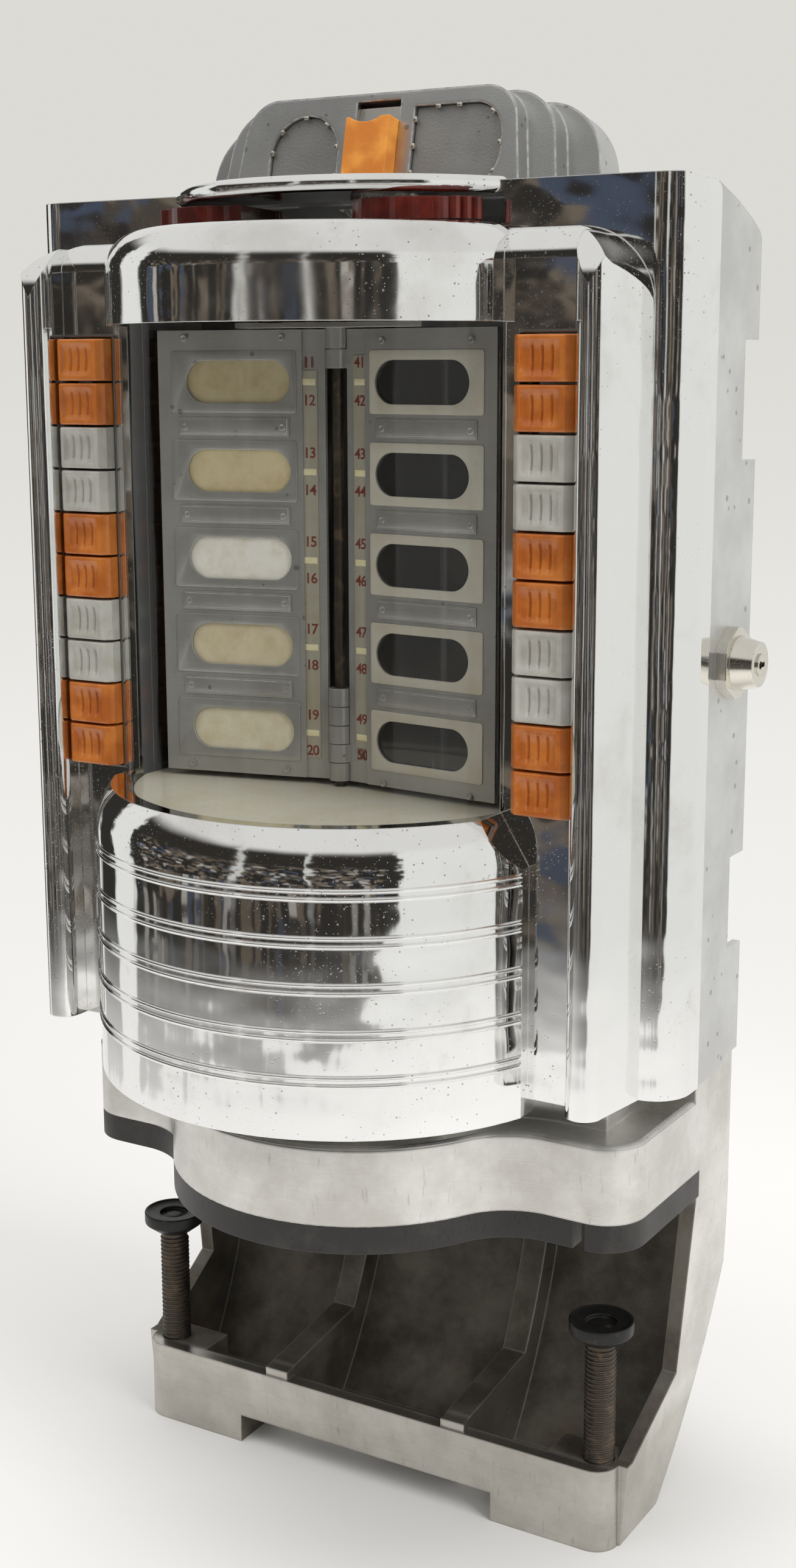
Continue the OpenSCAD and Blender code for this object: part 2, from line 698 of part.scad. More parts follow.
module rear_housing() color([0.8, 0.81, 0.82]) {
    half = housing_half;
    lugs = [[column_top - 2, 60], [column_z - 25, 148], [box_z + 4, 43]];
    difference() {
        union() {
            side_block(-half, half) housing_face(0, 0);
            // lugs along the rear edges of both sides
            both() intersection() {
                side_block(half - 3, half) housing_face(0, lug_d);
                union() for (l = lugs) translate([0, back_y - 1, l[0]]) cube([half + 1, lug_d + 2, l[1]]);
            }
        }
        side_block(-half + housing_t, half - housing_t) {
            housing_face(housing_t, 0);
            translate([seam_y - 1, box_z + housing_t]) square([2, housing_z - 2 * housing_t - box_z]);
        }
        // side opening of the lock
        translate([half - 5, lock_y, lock_z]) rotate([0, 90, 0]) cylinder(r = barrel_r + fit, h = 10);
        // wall fixing holes, cable hole and holes of the bracket bolts
        both() for (z = [box_z + 63, box_z + 263])
            translate([half - 21, back_y - 5, z]) rotate([-90, 0, 0]) cylinder(r = 2.75, h = 10);
        translate([grommet_x, back_y - 5, box_z + grommet_rise]) rotate([-90, 0, 0]) cylinder(r = grommet_r, h = 10);
        both() for (z = bolt_z)
            translate([bolt_x, back_y - 5, z]) rotate([-90, 0, 0]) cylinder(r = 3, h = 10);
        // coin way into the box
        translate([-coin_w / 2 - 1, seam_y + 4, deck_z - 20]) cube([coin_w + 2, 22, 25]);
    }
    // floor that reaches forward under the cover
    translate([0, 0, box_z]) linear_extrude(housing_t) intersection() {
        union() {
            shell_plan(cover_t + 0.5);
            body_plan(cover_t + 0.5);
            translate([0, seam_y - 2]) square([2 * (half - housing_t), 4 + housing_t], center = true);
        }
        translate([-half, panel_y + 4]) square([2 * half, 100]);
    }
}

module chassis_plate() color([0.55, 0.56, 0.58]) {
    difference() {
        union() {
            translate([-chassis_half, chassis_y, box_z + 8]) cube([2 * chassis_half, 2, frame_z - box_z - 8]);
            both() for (z = [box_z + 12, frame_z - 20])
                translate([chassis_half - 12, chassis_y + 2, z])
                    cube([10, back_y - housing_t - chassis_y - 2, 10]);
        }
        translate([-coin_w / 2 - 2, chassis_y - 1, box_z + chute_low - 3]) cube([coin_w + 4, 4, 10]);
    }
}

module coin_chute() color([0.78, 0.76, 0.7]) {
    low = box_z + chute_low;
    y1 = back_y - housing_t - 2.2;
    knee = deck_z - chute_bend;
    w = coin_w / 2;
    rise = head_h - 5;
    tip = rise * tan(head_lean);
    // guide walls up to the coin slot, then straight down behind the chassis
    difference() {
        side_block(-w, w) polygon([[seam_y + 7 + tip, deck_z + rise], [seam_y + 7, deck_z], [y1 - 6, knee], [y1 - 6, low],
            [y1, low], [y1, knee], [seam_y + 13, deck_z], [seam_y + 13 + tip, deck_z + rise]]);
        side_block(-w + 1, w - 1) polygon([[seam_y + 8 + tip, deck_z + rise + 1], [seam_y + 8, deck_z], [y1 - 5, knee],
            [y1 - 5, low - 1], [y1 - 1, low - 1], [y1 - 1, knee], [seam_y + 12, deck_z],
            [seam_y + 12 + tip, deck_z + rise + 1]]);
    }
    // ramp forward into the bin
    difference() {
        side_block(-w, w) polygon([[y1, low], [y1, low + 2], [chassis_y - 2, low + 2], [-76, low - 16], [-76, low - 18],
            [chassis_y - 2, low]]);
        translate([-w + 1, y1 - 4.8, low - 1]) cube([2 * w - 2, 3.6, 2.8]);
    }
}

module coin_bin() color([0.66, 0.66, 0.64]) {
    difference() {
        translate([-bin_half, bin_y, box_z + 0.2]) cube([2 * bin_half, bin_d, bin_h]);
        translate([-bin_half + 1, bin_y + 1, box_z + 1.2]) cube([2 * bin_half - 2, bin_d - 2, bin_h]);
    }
    translate([-bin_half, bin_y + bin_d - e, box_z + housing_t]) cube([2 * bin_half, 20, 1]);
}

module credit_wheel() color([0.72, 0.6, 0.3])
    translate([wheel_x, chassis_y - wheel_gap, box_z + wheel_rise]) rotate([90, 0, 0]) difference() {
        union() {
            linear_extrude(3) union() {
                circle(wheel_r);
                for (i = [0:23]) rotate(i * 15)
                    polygon([[wheel_r - 1, -1.5], [wheel_r + 2.5, 1.8], [wheel_r - 1, 1.8]]);
            }
            translate([0, 0, -5]) cylinder(r = 2 * shaft_r, h = 10);
        }
        translate([0, 0, -6]) cylinder(r = shaft_r + fit, h = 14);
    }

module credit_coil() color([0.5, 0.2, 0.1]) {
    // shaft of the wheel, and the coil that steps it
    translate([wheel_x, chassis_y, box_z + wheel_rise]) rotate([90, 0, 0]) cylinder(r = shaft_r, h = shaft_l);
    translate([coil_x, chassis_y, box_z + coil_rise]) rotate([90, 0, 0]) cylinder(r = coil_r, h = coil_l);
    translate([coil_x - 16, chassis_y - 4, box_z + pawl_rise]) cube([32, 4, 8]);
    translate([coil_x - 35, chassis_y - wheel_gap - 3.5, box_z + pawl_rise + 2]) cube([22, 2.5, 4]);
    translate([coil_x - 17, chassis_y - wheel_gap - 3.5, box_z + pawl_rise]) cube([4, wheel_gap + 3.5, 8]);
}

module terminal_strip() color([0.15, 0.13, 0.12]) {
    translate([strip_x, chassis_y - strip_d, box_z + strip_rise]) cube([strip_w, strip_d, strip_h]);
    for (i = [0:5])
        translate([strip_x + 6 + i * pole_pitch, chassis_y - strip_d, box_z + strip_rise + strip_h / 2])
            rotate([90, 0, 0]) cylinder(r = 2.4, h = 2);
}

module cable_grommet() color([0.08, 0.08, 0.08])
    translate([grommet_x, back_y + 1.5, box_z + grommet_rise]) rotate([90, 0, 0]) difference() {
        union() {
            cylinder(r = grommet_r - 0.1, h = housing_t + 3);
            cylinder(r = grommet_r + 2.5, h = 1.5);
            translate([0, 0, 1.5 + housing_t]) cylinder(r = grommet_r + 2.5, h = 1.5);
        }
        translate([0, 0, -1]) cylinder(r = cable_r, h = 8);
    }

module lamp_tube() color([0.95, 0.95, 0.9]) {
    translate([-lamp_half, lamp_y, window_z1 + 10]) rotate([0, 90, 0]) cylinder(r = lamp_r, h = 2 * lamp_half);
}

module lamp_holders() color([0.9, 0.9, 0.86]) {
    both() {
        translate([lamp_half, lamp_y - lamp_r, window_z1 + 3]) cube([4, 2 * lamp_r, cap_z - cover_t - window_z1 - 3]);
        translate([lamp_half - 14, lamp_y - lamp_r, cap_z - cover_t - 1.5]) cube([14.1, 2 * lamp_r, 1.5]);
    }
}

// ---- coin head -------------------------------------------------------------------------------

front_y = seam_y + 4;            // foot of the coin head's front step
head_lean = 12;                  // the head leans back by this angle

module leaning() {
    translate([0, front_y, deck_z]) rotate([-head_lean, 0, 0]) translate([0, -front_y, -deck_z]) children();
}

// One step of the head, seen from the front: slanted sides and round top corners
module head_face(half, top, r) {
    lean = 7;
    side = atan(lean / top);
    // the corner circle touches the side at (x1, z1) and the top at (x, top)
    x = half - lean * (top - r) / top - r / cos(side);
    x1 = x + r * cos(side);
    z1 = top - r + r * sin(side);
    both() translate([x, top - r]) circle(r);
    polygon([[-half, 0], [-x1, z1], [-x, top], [x, top], [x1, z1], [half, 0]]);
}

module arch_recess(x, w, h) {
    translate([x - w / 2, 2]) square([w, h - w / 2 - 2]);
    intersection() {
        translate([x, h - w / 2]) circle(w / 2);
        translate([x - w, 2]) square([2 * w, h]);
    }
}

module dee_recess(x0, w, h) {
    r = 13;
    translate([x0, 2]) square([w - r, h - 2]);
    translate([x0, 2 + r]) square([w, h - 2 * r - 2]);
    for (z = [2 + r, h - r]) translate([x0 + w - r, z]) circle(r);
}

module coin_head() color([0.66, 0.67, 0.68]) {
    base_h = 14;
    z0 = deck_z - base_h;
    top = head_h + base_h;
    difference() {
        union() {
            leaning() {
                face_block(front_y, front_y + 8.1) translate([0, z0]) head_face(head_w / 2 + 2, top + 1, 14);
                face_block(front_y + 8, front_y + 18.1)
                    translate([0, z0]) head_face(head_w / 2 + head_step + 2, top + 1, 19);
            }
            intersection() {
                leaning() face_block(front_y + 18, front_y + 60)
                    translate([0, z0]) head_face(head_w / 2 + 2 * head_step + 4, top - 1, 24);
                translate([-body_half, 0, 0]) translate([0, seam_y, 0]) cube([body_w, back_y + lug_d - seam_y, 700]);
            }
        }
        // seat on the curved top of the housing
        side_block(-body_half, body_half) housing_profile(0);
        translate([-body_half, seam_y - 8, z0 - 8]) cube([body_w, 20, deck_z - z0 + 8]);
        leaning() {
            // recesses for the two plates
            face_block(front_y - 1, front_y + 3.2) translate([0, deck_z - 1]) {
                arch_recess(-32, 31, head_h - 5);
                dee_recess(16, 38, head_h - 4);
            }
            // coin way
            translate([-coin_w / 2 - 0.2, front_y + 2.8, z0 - 10]) cube([coin_w + 0.4, 6.4, head_h + base_h + 8]);
            translate([-guide_w / 2 - 0.2, front_y - 1, z0 - 1]) cube([guide_w + 0.4, 5, head_h + base_h - 1]);
        }
        // room for the chute where it turns back into the box
        translate([-coin_w / 2 - 0.5, seam_y + 6.5, z0 - 10]) cube([coin_w + 1, 24, base_h + 10]);
        // hollow underneath
        leaning() translate([-head_w / 2 + 6, front_y + 12, z0 - 20]) cube([head_w - 12, 40, head_h + base_h + 14]);
    }
    // foot along the housing's top, in front of the hollow
    translate([-head_w / 2, front_y + 0.4, deck_z - 2.3]) cube([head_w / 2 - coin_w / 2 - 0.5, 8, 2.4]);
    translate([coin_w / 2 + 0.5, front_y + 0.4, deck_z - 2.3]) cube([head_w / 2 - coin_w / 2 - 0.5, 8, 2.4]);
}

module coin_plates() color([0.62, 0.64, 0.65]) leaning() {
    play = 0.2;
    face_block(front_y + 2, front_y + 3.2) translate([0, deck_z - 1]) {
        arch_recess(-32, 31 - 2 * play, head_h - 5 - play);
        translate([play, 0]) dee_recess(16, 38 - 2 * play, head_h - 4 - play);
    }
}

module coin_guide() color([0.9, 0.5, 0.12]) {
    top = deck_z + 27;
    difference() {
        leaning() difference() {
            translate([-guide_w / 2, front_y - 7, deck_z - 6]) cube([guide_w, 9.3, top - deck_z + 6]);
            // hollow saddle along the top edge
            translate([-1, front_y, top + 11]) rotate([90, 0, 0]) cylinder(r = 13, h = 30, center = true);
            translate([0, front_y - 0.8, top + 6]) cube([guide_w - 5, 4, 40], center = true);
        }
        translate([-20, front_y - 20, deck_z - 20]) cube([40, 40, 20.1]);
    }
}

// ---- lock ------------------------------------------------------------------------------------

side_x = housing_half;

module lock_nut() color([0.72, 0.7, 0.64])
    translate([side_x, lock_y, lock_z]) rotate([0, 90, 0]) difference() {
        intersection() {
            cylinder(r = 14.4, h = 4.5, $fn = 6);
            cylinder(r = 13.4, h = 4.5);
        }
        translate([0, 0, -1]) cylinder(r = barrel_r + fit, h = 8);
    }

module lock_body() color([0.76, 0.74, 0.68])
    translate([side_x, lock_y, lock_z]) rotate([0, 90, 0]) difference() {
        union() {
            translate([0, 0, -9]) cylinder(r = barrel_r, h = 13.5);
            translate([0, 0, 4.5]) cylinder(d1 = lock_d + 3, d2 = lock_d - 1, h = 8);
        }
        translate([0, 0, -10]) cylinder(r = plug_r + fit, h = 30);
    }

module lock_plug() color([0.7, 0.68, 0.6])
    translate([side_x, lock_y, lock_z]) rotate([0, 90, 0]) difference() {
        union() {
            translate([0, 0, -11.4]) cylinder(r = plug_r, h = 24.7);
            translate([0, 0, -14]) cylinder(r = 2.5, h = 3);
        }
        translate([-0.9, -2.6, 9]) cube([1.8, 5.2, 6]);
        translate([0, -1.4, 9]) cylinder(r = 1.5, h = 6);
    }

module lock_cam() color([0.55, 0.55, 0.56])
    translate([side_x - 11.4, lock_y, lock_z]) rotate([0, 90, 0]) mirror([0, 0, 1]) difference() {
        union() {
            cylinder(r = 5.6, h = 2);
            translate([-20, -4, 0]) cube([20, 8, 2]);
        }
        translate([0, 0, -1]) cylinder(r = 2.5, h = 4);
    }

// ---- clamp bracket ---------------------------------------------------------------------------

// Plan of the upper jaw: a middle swell, two hollows and two side lobes, drawn in by t
swell_r = 78;
swell_y = -31;
waist_r = 30;
lobe_r = 17;
lobe_y = step_y - 3.5;           // front of the side lobes
waist_y = lobe_y - waist_r + 0.05;
waist_x = sqrt(pow(swell_r + waist_r - 0.05, 2) - pow(waist_y - swell_y, 2));

module skirt_plan(t) {
    intersection() {
        translate([0, swell_y]) circle(swell_r - t, $fn = 96);
        translate([-100, -200]) square([200, 200 + swell_y + 1]);
    }
    both() {
        difference() {
            polygon([[-1, swell_y], [0, swell_y], [waist_x, waist_y], [waist_x, side_y], [-1, side_y]]);
            translate([waist_x, waist_y]) circle(waist_r + t);
        }
        translate([waist_x - 4, lobe_y + t]) square([skirt_half - lobe_r - waist_x + 4, side_y - lobe_y - t]);
        translate([skirt_half - lobe_r, lobe_y + lobe_r]) circle(lobe_r - t);
        translate([skirt_half - lobe_r - 1, lobe_y + lobe_r]) square([lobe_r + 1 - t, side_y - lobe_y - lobe_r]);
    }
}

// Front view of the bracket: narrower at the foot, drawn in by t
module bracket_front(t) {
    polygon([[-tray_half + t, -1], [-skirt_half + t, skirt_z], [-skirt_half + t, box_z + 1], [skirt_half - t, box_z + 1],
        [skirt_half - t, skirt_z], [tray_half - t, -1]]);
}

wall_r = 250;                    // curve of the rear wall
bend_z = skirt_z + 12.5;         // the rear wall is straight above this
bend_y = wall_y - wall_r;

// Side view of the bracket behind the jaws, drawn in by t
module bracket_side(t) {
    floor_z = t > 0 ? t + 4 : 0;
    low = asin((floor_z - bend_z) / (wall_r - t));
    crown = 10;
    polygon(concat([[jaw_front + t, floor_z]], arc(bend_y, bend_z, wall_r - t, low, 0, 24),
        arc(wall_y - crown, box_z - crown, crown - t, 0, 90, 6), [[jaw_front + t, box_z - t]]));
}

// Side view of the space that the jaws leave open
module jaw_opening() {
    polygon([[-200, jaw_h], [jaw_front + 15, jaw_h], [side_y, jaw_h + 22], [side_y, skirt_z], [-200, skirt_z]]);
}

// Plan of the bracket's body: straight front, round rear corners, drawn in by t
module bracket_plan(t) {
    r = 24;
    half = skirt_half;
    both() {
        translate([half - r, wall_y - r]) circle(r - t);
        translate([half - 40, jaw_front + t]) square([40 - t, wall_y - r - jaw_front - t]);
    }
    translate([-half + r, jaw_front + t]) square([2 * (half - r), wall_y - jaw_front - 2 * t]);
}

// Round front corners of the lower jaw
module jaw_corners() {
    r = 10;
    both() translate([tray_half - r - 0.8, jaw_front - 1, -1]) difference() {
        cube([r + 5, r + 1, jaw_h + 2]);
        translate([0, r + 1, -1]) cylinder(r = r, h = jaw_h + 4);
    }
}

module clamp_bracket() color([0.72, 0.71, 0.68]) {
    difference() {
        union() {
            difference() {
                intersection() {
                    side_block(-skirt_half, skirt_half) bracket_side(0);
                    face_block(jaw_front - 1, wall_y + 1) bracket_front(0);
                    linear_extrude(box_z) bracket_plan(0);
                }
                intersection() {
                    side_block(-skirt_half, skirt_half) bracket_side(jaw_t);
                    face_block(jaw_front - 1, wall_y + 1) bracket_front(jaw_t);
                    linear_extrude(box_z) bracket_plan(jaw_t);
                    translate([-200, -200, 0]) cube([400, 400, rim_z - jaw_t]);
                }
                side_block(-skirt_half - 1, skirt_half + 1) jaw_opening();
                translate([-200, -200, skirt_z - 1]) cube([400, 200 + side_y - 6, 100]);
            }
            // upper jaw: skirt, shelf and pedestal
            difference() {
                union() {
                    translate([0, 0, skirt_z]) linear_extrude(skirt_h - 1.6) skirt_plan(0);
                    translate([0, 0, skirt_z]) linear_extrude(skirt_h - 0.8) skirt_plan(0.3);
                    translate([0, 0, skirt_z]) linear_extrude(skirt_h - 0.3) skirt_plan(0.8);
                    translate([0, 0, skirt_z]) linear_extrude(skirt_h) skirt_plan(1.6);
                }
                translate([0, 0, skirt_z - 1]) linear_extrude(skirt_h - jaw_t + 1) skirt_plan(5);
            }
            translate([0, 0, rim_z - 1]) linear_extrude(neck_h + 1) skirt_plan(16);
            // two ribs along the floor and up the rear wall
            both() intersection() {
                side_block(38, 49) difference() {
                    bracket_side(1);
                    polygon(concat([[-60, jaw_h]], arc(bend_y, bend_z, wall_r - 18,
                        asin((jaw_h + 11 - bend_z) / (wall_r - 18)), 0, 16), [[wall_y - 18, box_z + 50], [-60, box_z + 50]]));
                }
                linear_extrude(skirt_z) bracket_plan(1);
            }
            // bosses of the clamp screws in the front corners
            intersection() {
                both() translate([screw_x - 20, jaw_front + 1, jaw_h - boss_h]) cube([60, 22, boss_h]);
                face_block(jaw_front - 1, wall_y) bracket_front(1);
            }
            // upstand behind the housing
            translate([-upstand_half, back_y + 0.05, box_z - 3]) cube([2 * upstand_half, upstand_t, upstand_h]);
        }
        jaw_corners();
        // recess between the front feet
        translate([-62, jaw_front - 1, -1]) cube([124, 24, foot_gap + 1]);
        both() translate([screw_x, screw_y, -1]) cylinder(d = screw_d + 2 * fit, h = jaw_h + 2);
        // holes of the bolts into the housing
        both() for (z = bolt_z)
            translate([bolt_x, back_y - 1, z]) rotate([-90, 0, 0]) cylinder(r = 3, h = 12);
    }
}

module rubber_edge() color([0.12, 0.12, 0.12]) {
    difference() {
        translate([0, 0, rubber_z]) linear_extrude(rubber_h) intersection() {
            difference() {
                skirt_plan(0);
                skirt_plan(8);
            }
            translate([-200, -200]) square([400, 200 + side_y - gap]);
        }
        // cut in the strip near the right corner
        translate([106, -70, rubber_z - 1]) cube([5, 30, rubber_h + 2]);
    }
}

module bracket_bolts() color([0.3, 0.3, 0.3]) {
    both() for (z = bolt_z) translate([bolt_x, back_y - housing_t - 4, z]) rotate([-90, 0, 0]) {
        cylinder(r = 2.9, h = housing_t + 4 + upstand_t + 0.1);
        cylinder(r = 5.5, h = 4, $fn = 6);
        translate([0, 0, housing_t + 4 + upstand_t + 0.1]) cylinder(r = 5, h = 3);
    }
}

module clamp_screw(x) translate([x, screw_y, 0]) {
    translate([0, 0, 6]) cylinder(d = screw_d, h = pad_z - pad_h - 6 - 0.2);
    translate([0, 0, pad_z - pad_h - 0.3]) cylinder(r = 3.5, h = 5.5);
}

module clamp_screw_left() color([0.16, 0.15, 0.14]) clamp_screw(-screw_x);

module clamp_screw_right() color([0.16, 0.15, 0.14]) clamp_screw(screw_x);

// Swivel pad: dished top, tapered underside and a socket for the screw's nose
module clamp_pad(x) translate([x, screw_y, pad_z - pad_h]) {
    difference() {
        union() {
            cylinder(d1 = screw_d + 3, d2 = pad_d, h = 4);
            translate([0, 0, 4]) cylinder(d = pad_d, h = pad_h - 4);
        }
        translate([0, 0, -1]) cylinder(r = 3.5 + fit, h = 6.5);
        translate([0, 0, pad_h - 2.5]) cylinder(d = 12, h = 4);
    }
}

module clamp_pad_left() color([0.12, 0.12, 0.12]) clamp_pad(-screw_x);

module clamp_pad_right() color([0.12, 0.12, 0.12]) clamp_pad(screw_x);

front_cover();
window();
bezel_left();
bezel_right();
button_l01();
button_l02();
button_l03();
button_l04();
button_l05();
button_l06();
button_l07();
button_l08();
button_l09();
button_l10();
button_r01();
button_r02();
button_r03();
button_r04();
button_r05();
button_r06();
button_r07();
button_r08();
button_r09();
button_r10();
page_left();
page_right();
cards_left();
cards_right();
parked_pages();
page_frame();
window_sill();
spindle();
lever_left();
lever_right();
rear_housing();
coin_head();
coin_plates();
coin_guide();
coin_chute();
lock_nut();
lock_body();
lock_plug();
lock_cam();
clamp_bracket();
rubber_edge();
clamp_screw_left();
clamp_screw_right();
clamp_pad_left();
clamp_pad_right();
bracket_bolts();
chassis_plate();
button_combs();
switch_stacks();
coin_bin();
credit_wheel();
credit_coil();
lamp_tube();
lamp_holders();
terminal_strip();
cable_grommet();
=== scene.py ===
import json
import math
import bpy
import bmesh
from mathutils import Matrix, Vector


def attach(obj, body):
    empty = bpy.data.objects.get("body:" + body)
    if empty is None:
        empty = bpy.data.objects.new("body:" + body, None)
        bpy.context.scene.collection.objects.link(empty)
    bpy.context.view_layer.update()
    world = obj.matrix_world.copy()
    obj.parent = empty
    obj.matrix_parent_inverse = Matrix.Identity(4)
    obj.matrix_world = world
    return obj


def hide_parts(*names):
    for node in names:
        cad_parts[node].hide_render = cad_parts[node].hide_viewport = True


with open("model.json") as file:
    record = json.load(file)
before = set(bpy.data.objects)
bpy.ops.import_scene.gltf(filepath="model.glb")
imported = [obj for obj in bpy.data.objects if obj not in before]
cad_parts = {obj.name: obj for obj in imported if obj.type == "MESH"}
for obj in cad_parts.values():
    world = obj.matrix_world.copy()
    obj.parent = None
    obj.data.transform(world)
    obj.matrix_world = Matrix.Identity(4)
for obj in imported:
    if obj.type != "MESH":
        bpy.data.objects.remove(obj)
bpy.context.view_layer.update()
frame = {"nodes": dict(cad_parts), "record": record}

nodes = frame["nodes"]
scene = bpy.context.scene


# ---- camera --------------------------------------------------------------------------------------

# solved from the photograph: place in metres, then turn, tip and roll in radians, then lens and sensor in mm
CAMERA_PLACE = (0.41952, -0.70632, 0.46509)
CAMERA_TURN, CAMERA_TIP, CAMERA_ROLL = 0.5376, 0.2034, -0.0031
LENS, SENSOR_HEIGHT = 46.93, 36


def place_camera():
    data = bpy.data.cameras.new("viewpoint")
    data.sensor_fit = "VERTICAL"
    data.sensor_height = SENSOR_HEIGHT
    data.lens = LENS
    data.clip_start = 0.02
    data.clip_end = 50
    camera = bpy.data.objects.new("viewpoint", data)
    scene.collection.objects.link(camera)
    aim = Matrix.Rotation(CAMERA_TURN, 4, "Z") @ Matrix.Rotation(math.radians(90) - CAMERA_TIP, 4, "X")
    camera.matrix_world = Matrix.Translation(CAMERA_PLACE) @ aim @ Matrix.Rotation(CAMERA_ROLL, 4, "Z")
    scene.camera = camera


place_camera()
scene.view_settings.view_transform = "Standard"


# ---- small helpers for shader trees --------------------------------------------------------------

def put(tree, kind, sockets=None, **settings):
    """Adds a node, sets its options, and fills its sockets with numbers or with other nodes' outputs."""
    node = tree.nodes.new(kind)
    for key, value in settings.items():
        setattr(node, key, value)
    for key, value in (sockets or {}).items():
        socket = node.inputs[key]
        if isinstance(value, bpy.types.NodeSocket):
            tree.links.new(value, socket)
        else:
            socket.default_value = value
    return node


def number(tree, operation, a, b=0.0, clamp=False):
    """One step of arithmetic; a and b are numbers or outputs."""
    return put(tree, "ShaderNodeMath", {0: a, 1: b}, operation=operation, use_clamp=clamp).outputs[0]


def spread(tree, value, low, high, to_low=0.0, to_high=1.0):
    """Smoothly carries value from low..high to to_low..to_high, and holds it outside."""
    ends = {"Value": value, "From Min": low, "From Max": high, "To Min": to_low, "To Max": to_high}
    return put(tree, "ShaderNodeMapRange", ends, interpolation_type="SMOOTHSTEP").outputs["Result"]


def mixed(tree, share, a, b, mode="MIX"):
    """Colour between a and b; four numbers or an output each."""
    return put(tree, "ShaderNodeMix", {0: share, 6: a, 7: b}, data_type="RGBA", blend_type=mode).outputs[2]


def rgb(r, g, b):
    return (r, g, b, 1.0)


# ---- shared shader groups ------------------------------------------------------------------------

def group_with(name, inputs, outputs):
    tree = bpy.data.node_groups.new(name, "ShaderNodeTree")
    for label, kind, value in inputs:
        socket = tree.interface.new_socket(label, in_out="INPUT", socket_type=kind)
        socket.default_value = value
    for label, kind in outputs:
        tree.interface.new_socket(label, in_out="OUTPUT", socket_type=kind)
    return tree, tree.nodes.new("NodeGroupInput"), tree.nodes.new("NodeGroupOutput")


def make_grain_group():
    """Noise in the object's own metres, stretched per axis."""
    inputs = [("Stretch", "NodeSocketVector", (100, 100, 100)), ("Detail", "NodeSocketFloat", 3.0),
              ("Roughness", "NodeSocketFloat", 0.55)]
    tree, given, result = group_with("grain", inputs, [("Value", "NodeSocketFloat")])
    place = put(tree, "ShaderNodeTexCoord").outputs["Object"]
    factors = {0: place, 1: given.outputs["Stretch"]}
    scaled = put(tree, "ShaderNodeVectorMath", factors, operation="MULTIPLY").outputs[0]
    sockets = {"Vector": scaled, "Scale": 1.0}
    sockets.update({key: given.outputs[key] for key in ("Detail", "Roughness")})
    noise = put(tree, "ShaderNodeTexNoise", sockets)
    tree.links.new(noise.outputs[0], result.inputs["Value"])
    return tree


def make_speck_group():
    """Scattered round specks; Amount is the share of the surface they take, roughly."""
    inputs = [("Scale", "NodeSocketFloat", 600.0), ("Amount", "NodeSocketFloat", 0.2)]
    tree, given, result = group_with("specks", inputs, [("Mask", "NodeSocketFloat")])
    place = put(tree, "ShaderNodeTexCoord").outputs["Object"]
    cell = put(tree, "ShaderNodeTexVoronoi", {"Vector": place, "Scale": given.outputs["Scale"]})
    dice = put(tree, "ShaderNodeSeparateColor", {"Color": cell.outputs["Color"]}).outputs[0]
    size = spread(tree, dice, number(tree, "SUBTRACT", 1.0, given.outputs["Amount"]), 1.0, 0.0, 0.42)
    near = number(tree, "SUBTRACT", size, cell.outputs["Distance"])
    tree.links.new(spread(tree, near, 0.0, 0.12), result.inputs["Mask"])
    return tree


def make_edge_group():
    """Rounds the look of sharp edges, and marks where they are."""
    outputs = [("Mask", "NodeSocketFloat"), ("Normal", "NodeSocketVector")]
    tree, given, result = group_with("edges", [("Radius", "NodeSocketFloat", 0.0008)], outputs)
    round_edge = put(tree, "ShaderNodeBevel", {"Radius": given.outputs["Radius"]}, samples=4)
    flat = put(tree, "ShaderNodeNewGeometry").outputs["Normal"]
    pair = {0: round_edge.outputs[0], 1: flat}
    dot = put(tree, "ShaderNodeVectorMath", pair, operation="DOT_PRODUCT").outputs["Value"]
    tree.links.new(spread(tree, dot, 0.995, 0.86), result.inputs["Mask"])
    tree.links.new(round_edge.outputs[0], result.inputs["Normal"])
    return tree


grain_group = make_grain_group()
speck_group = make_speck_group()
edge_group = make_edge_group()


def grain(tree, x, y=None, z=None, detail=3.0, rough=0.55):
    node = put(tree, "ShaderNodeGroup", node_tree=grain_group)
    node.inputs["Stretch"].default_value = (x, x if y is None else y, x if z is None else z)
    node.inputs["Detail"].default_value = detail
    node.inputs["Roughness"].default_value = rough
    return node.outputs["Value"]


def specks(tree, scale, amount):
    node = put(tree, "ShaderNodeGroup", node_tree=speck_group)
    node.inputs["Scale"].default_value = scale
    node.inputs["Amount"].default_value = amount
    return node.outputs["Mask"]


def edges(tree, radius):
    node = put(tree, "ShaderNodeGroup", node_tree=edge_group)
    node.inputs["Radius"].default_value = radius
    return node.outputs["Mask"], node.outputs["Normal"]


def bump(tree, height, depth, normal=None):
    """Relief of the given depth in metres."""
    sockets = {"Height": height, "Distance": depth, "Strength": 1.0}
    if normal is not None:
        sockets["Normal"] = normal
    return put(tree, "ShaderNodeBump", sockets).outputs[0]


def axes_of(tree, vector):
    axes = put(tree, "ShaderNodeSeparateXYZ", {0: vector}).outputs
    return axes[0], axes[1], axes[2]


def place_of(tree):
    """The three coordinates of the shaded point, in metres."""
    return axes_of(tree, put(tree, "ShaderNodeTexCoord").outputs["Object"])


def facing_of(tree):
    """The direction in which the shaded point faces, by its three axes."""
    return axes_of(tree, put(tree, "ShaderNodeNewGeometry").outputs["Normal"])


def new_finish(name):
    finish = bpy.data.materials.new(name)
    finish.use_nodes = True
    finish.node_tree.nodes.clear()
    return finish, finish.node_tree


def close_finish(tree, sockets, **constants):
    """The shader and the output; constants are set straight on the shader's sockets."""
    shader = put(tree, "ShaderNodeBsdfPrincipled", sockets)
    for key, value in constants.items():
        shader.inputs[key.replace("_", " ").title().replace("Ior", "IOR")].default_value = value
    put(tree, "ShaderNodeOutputMaterial", {"Surface": shader.outputs[0]})
    return shader


# ---- finishes ------------------------------------------------------------------------------------

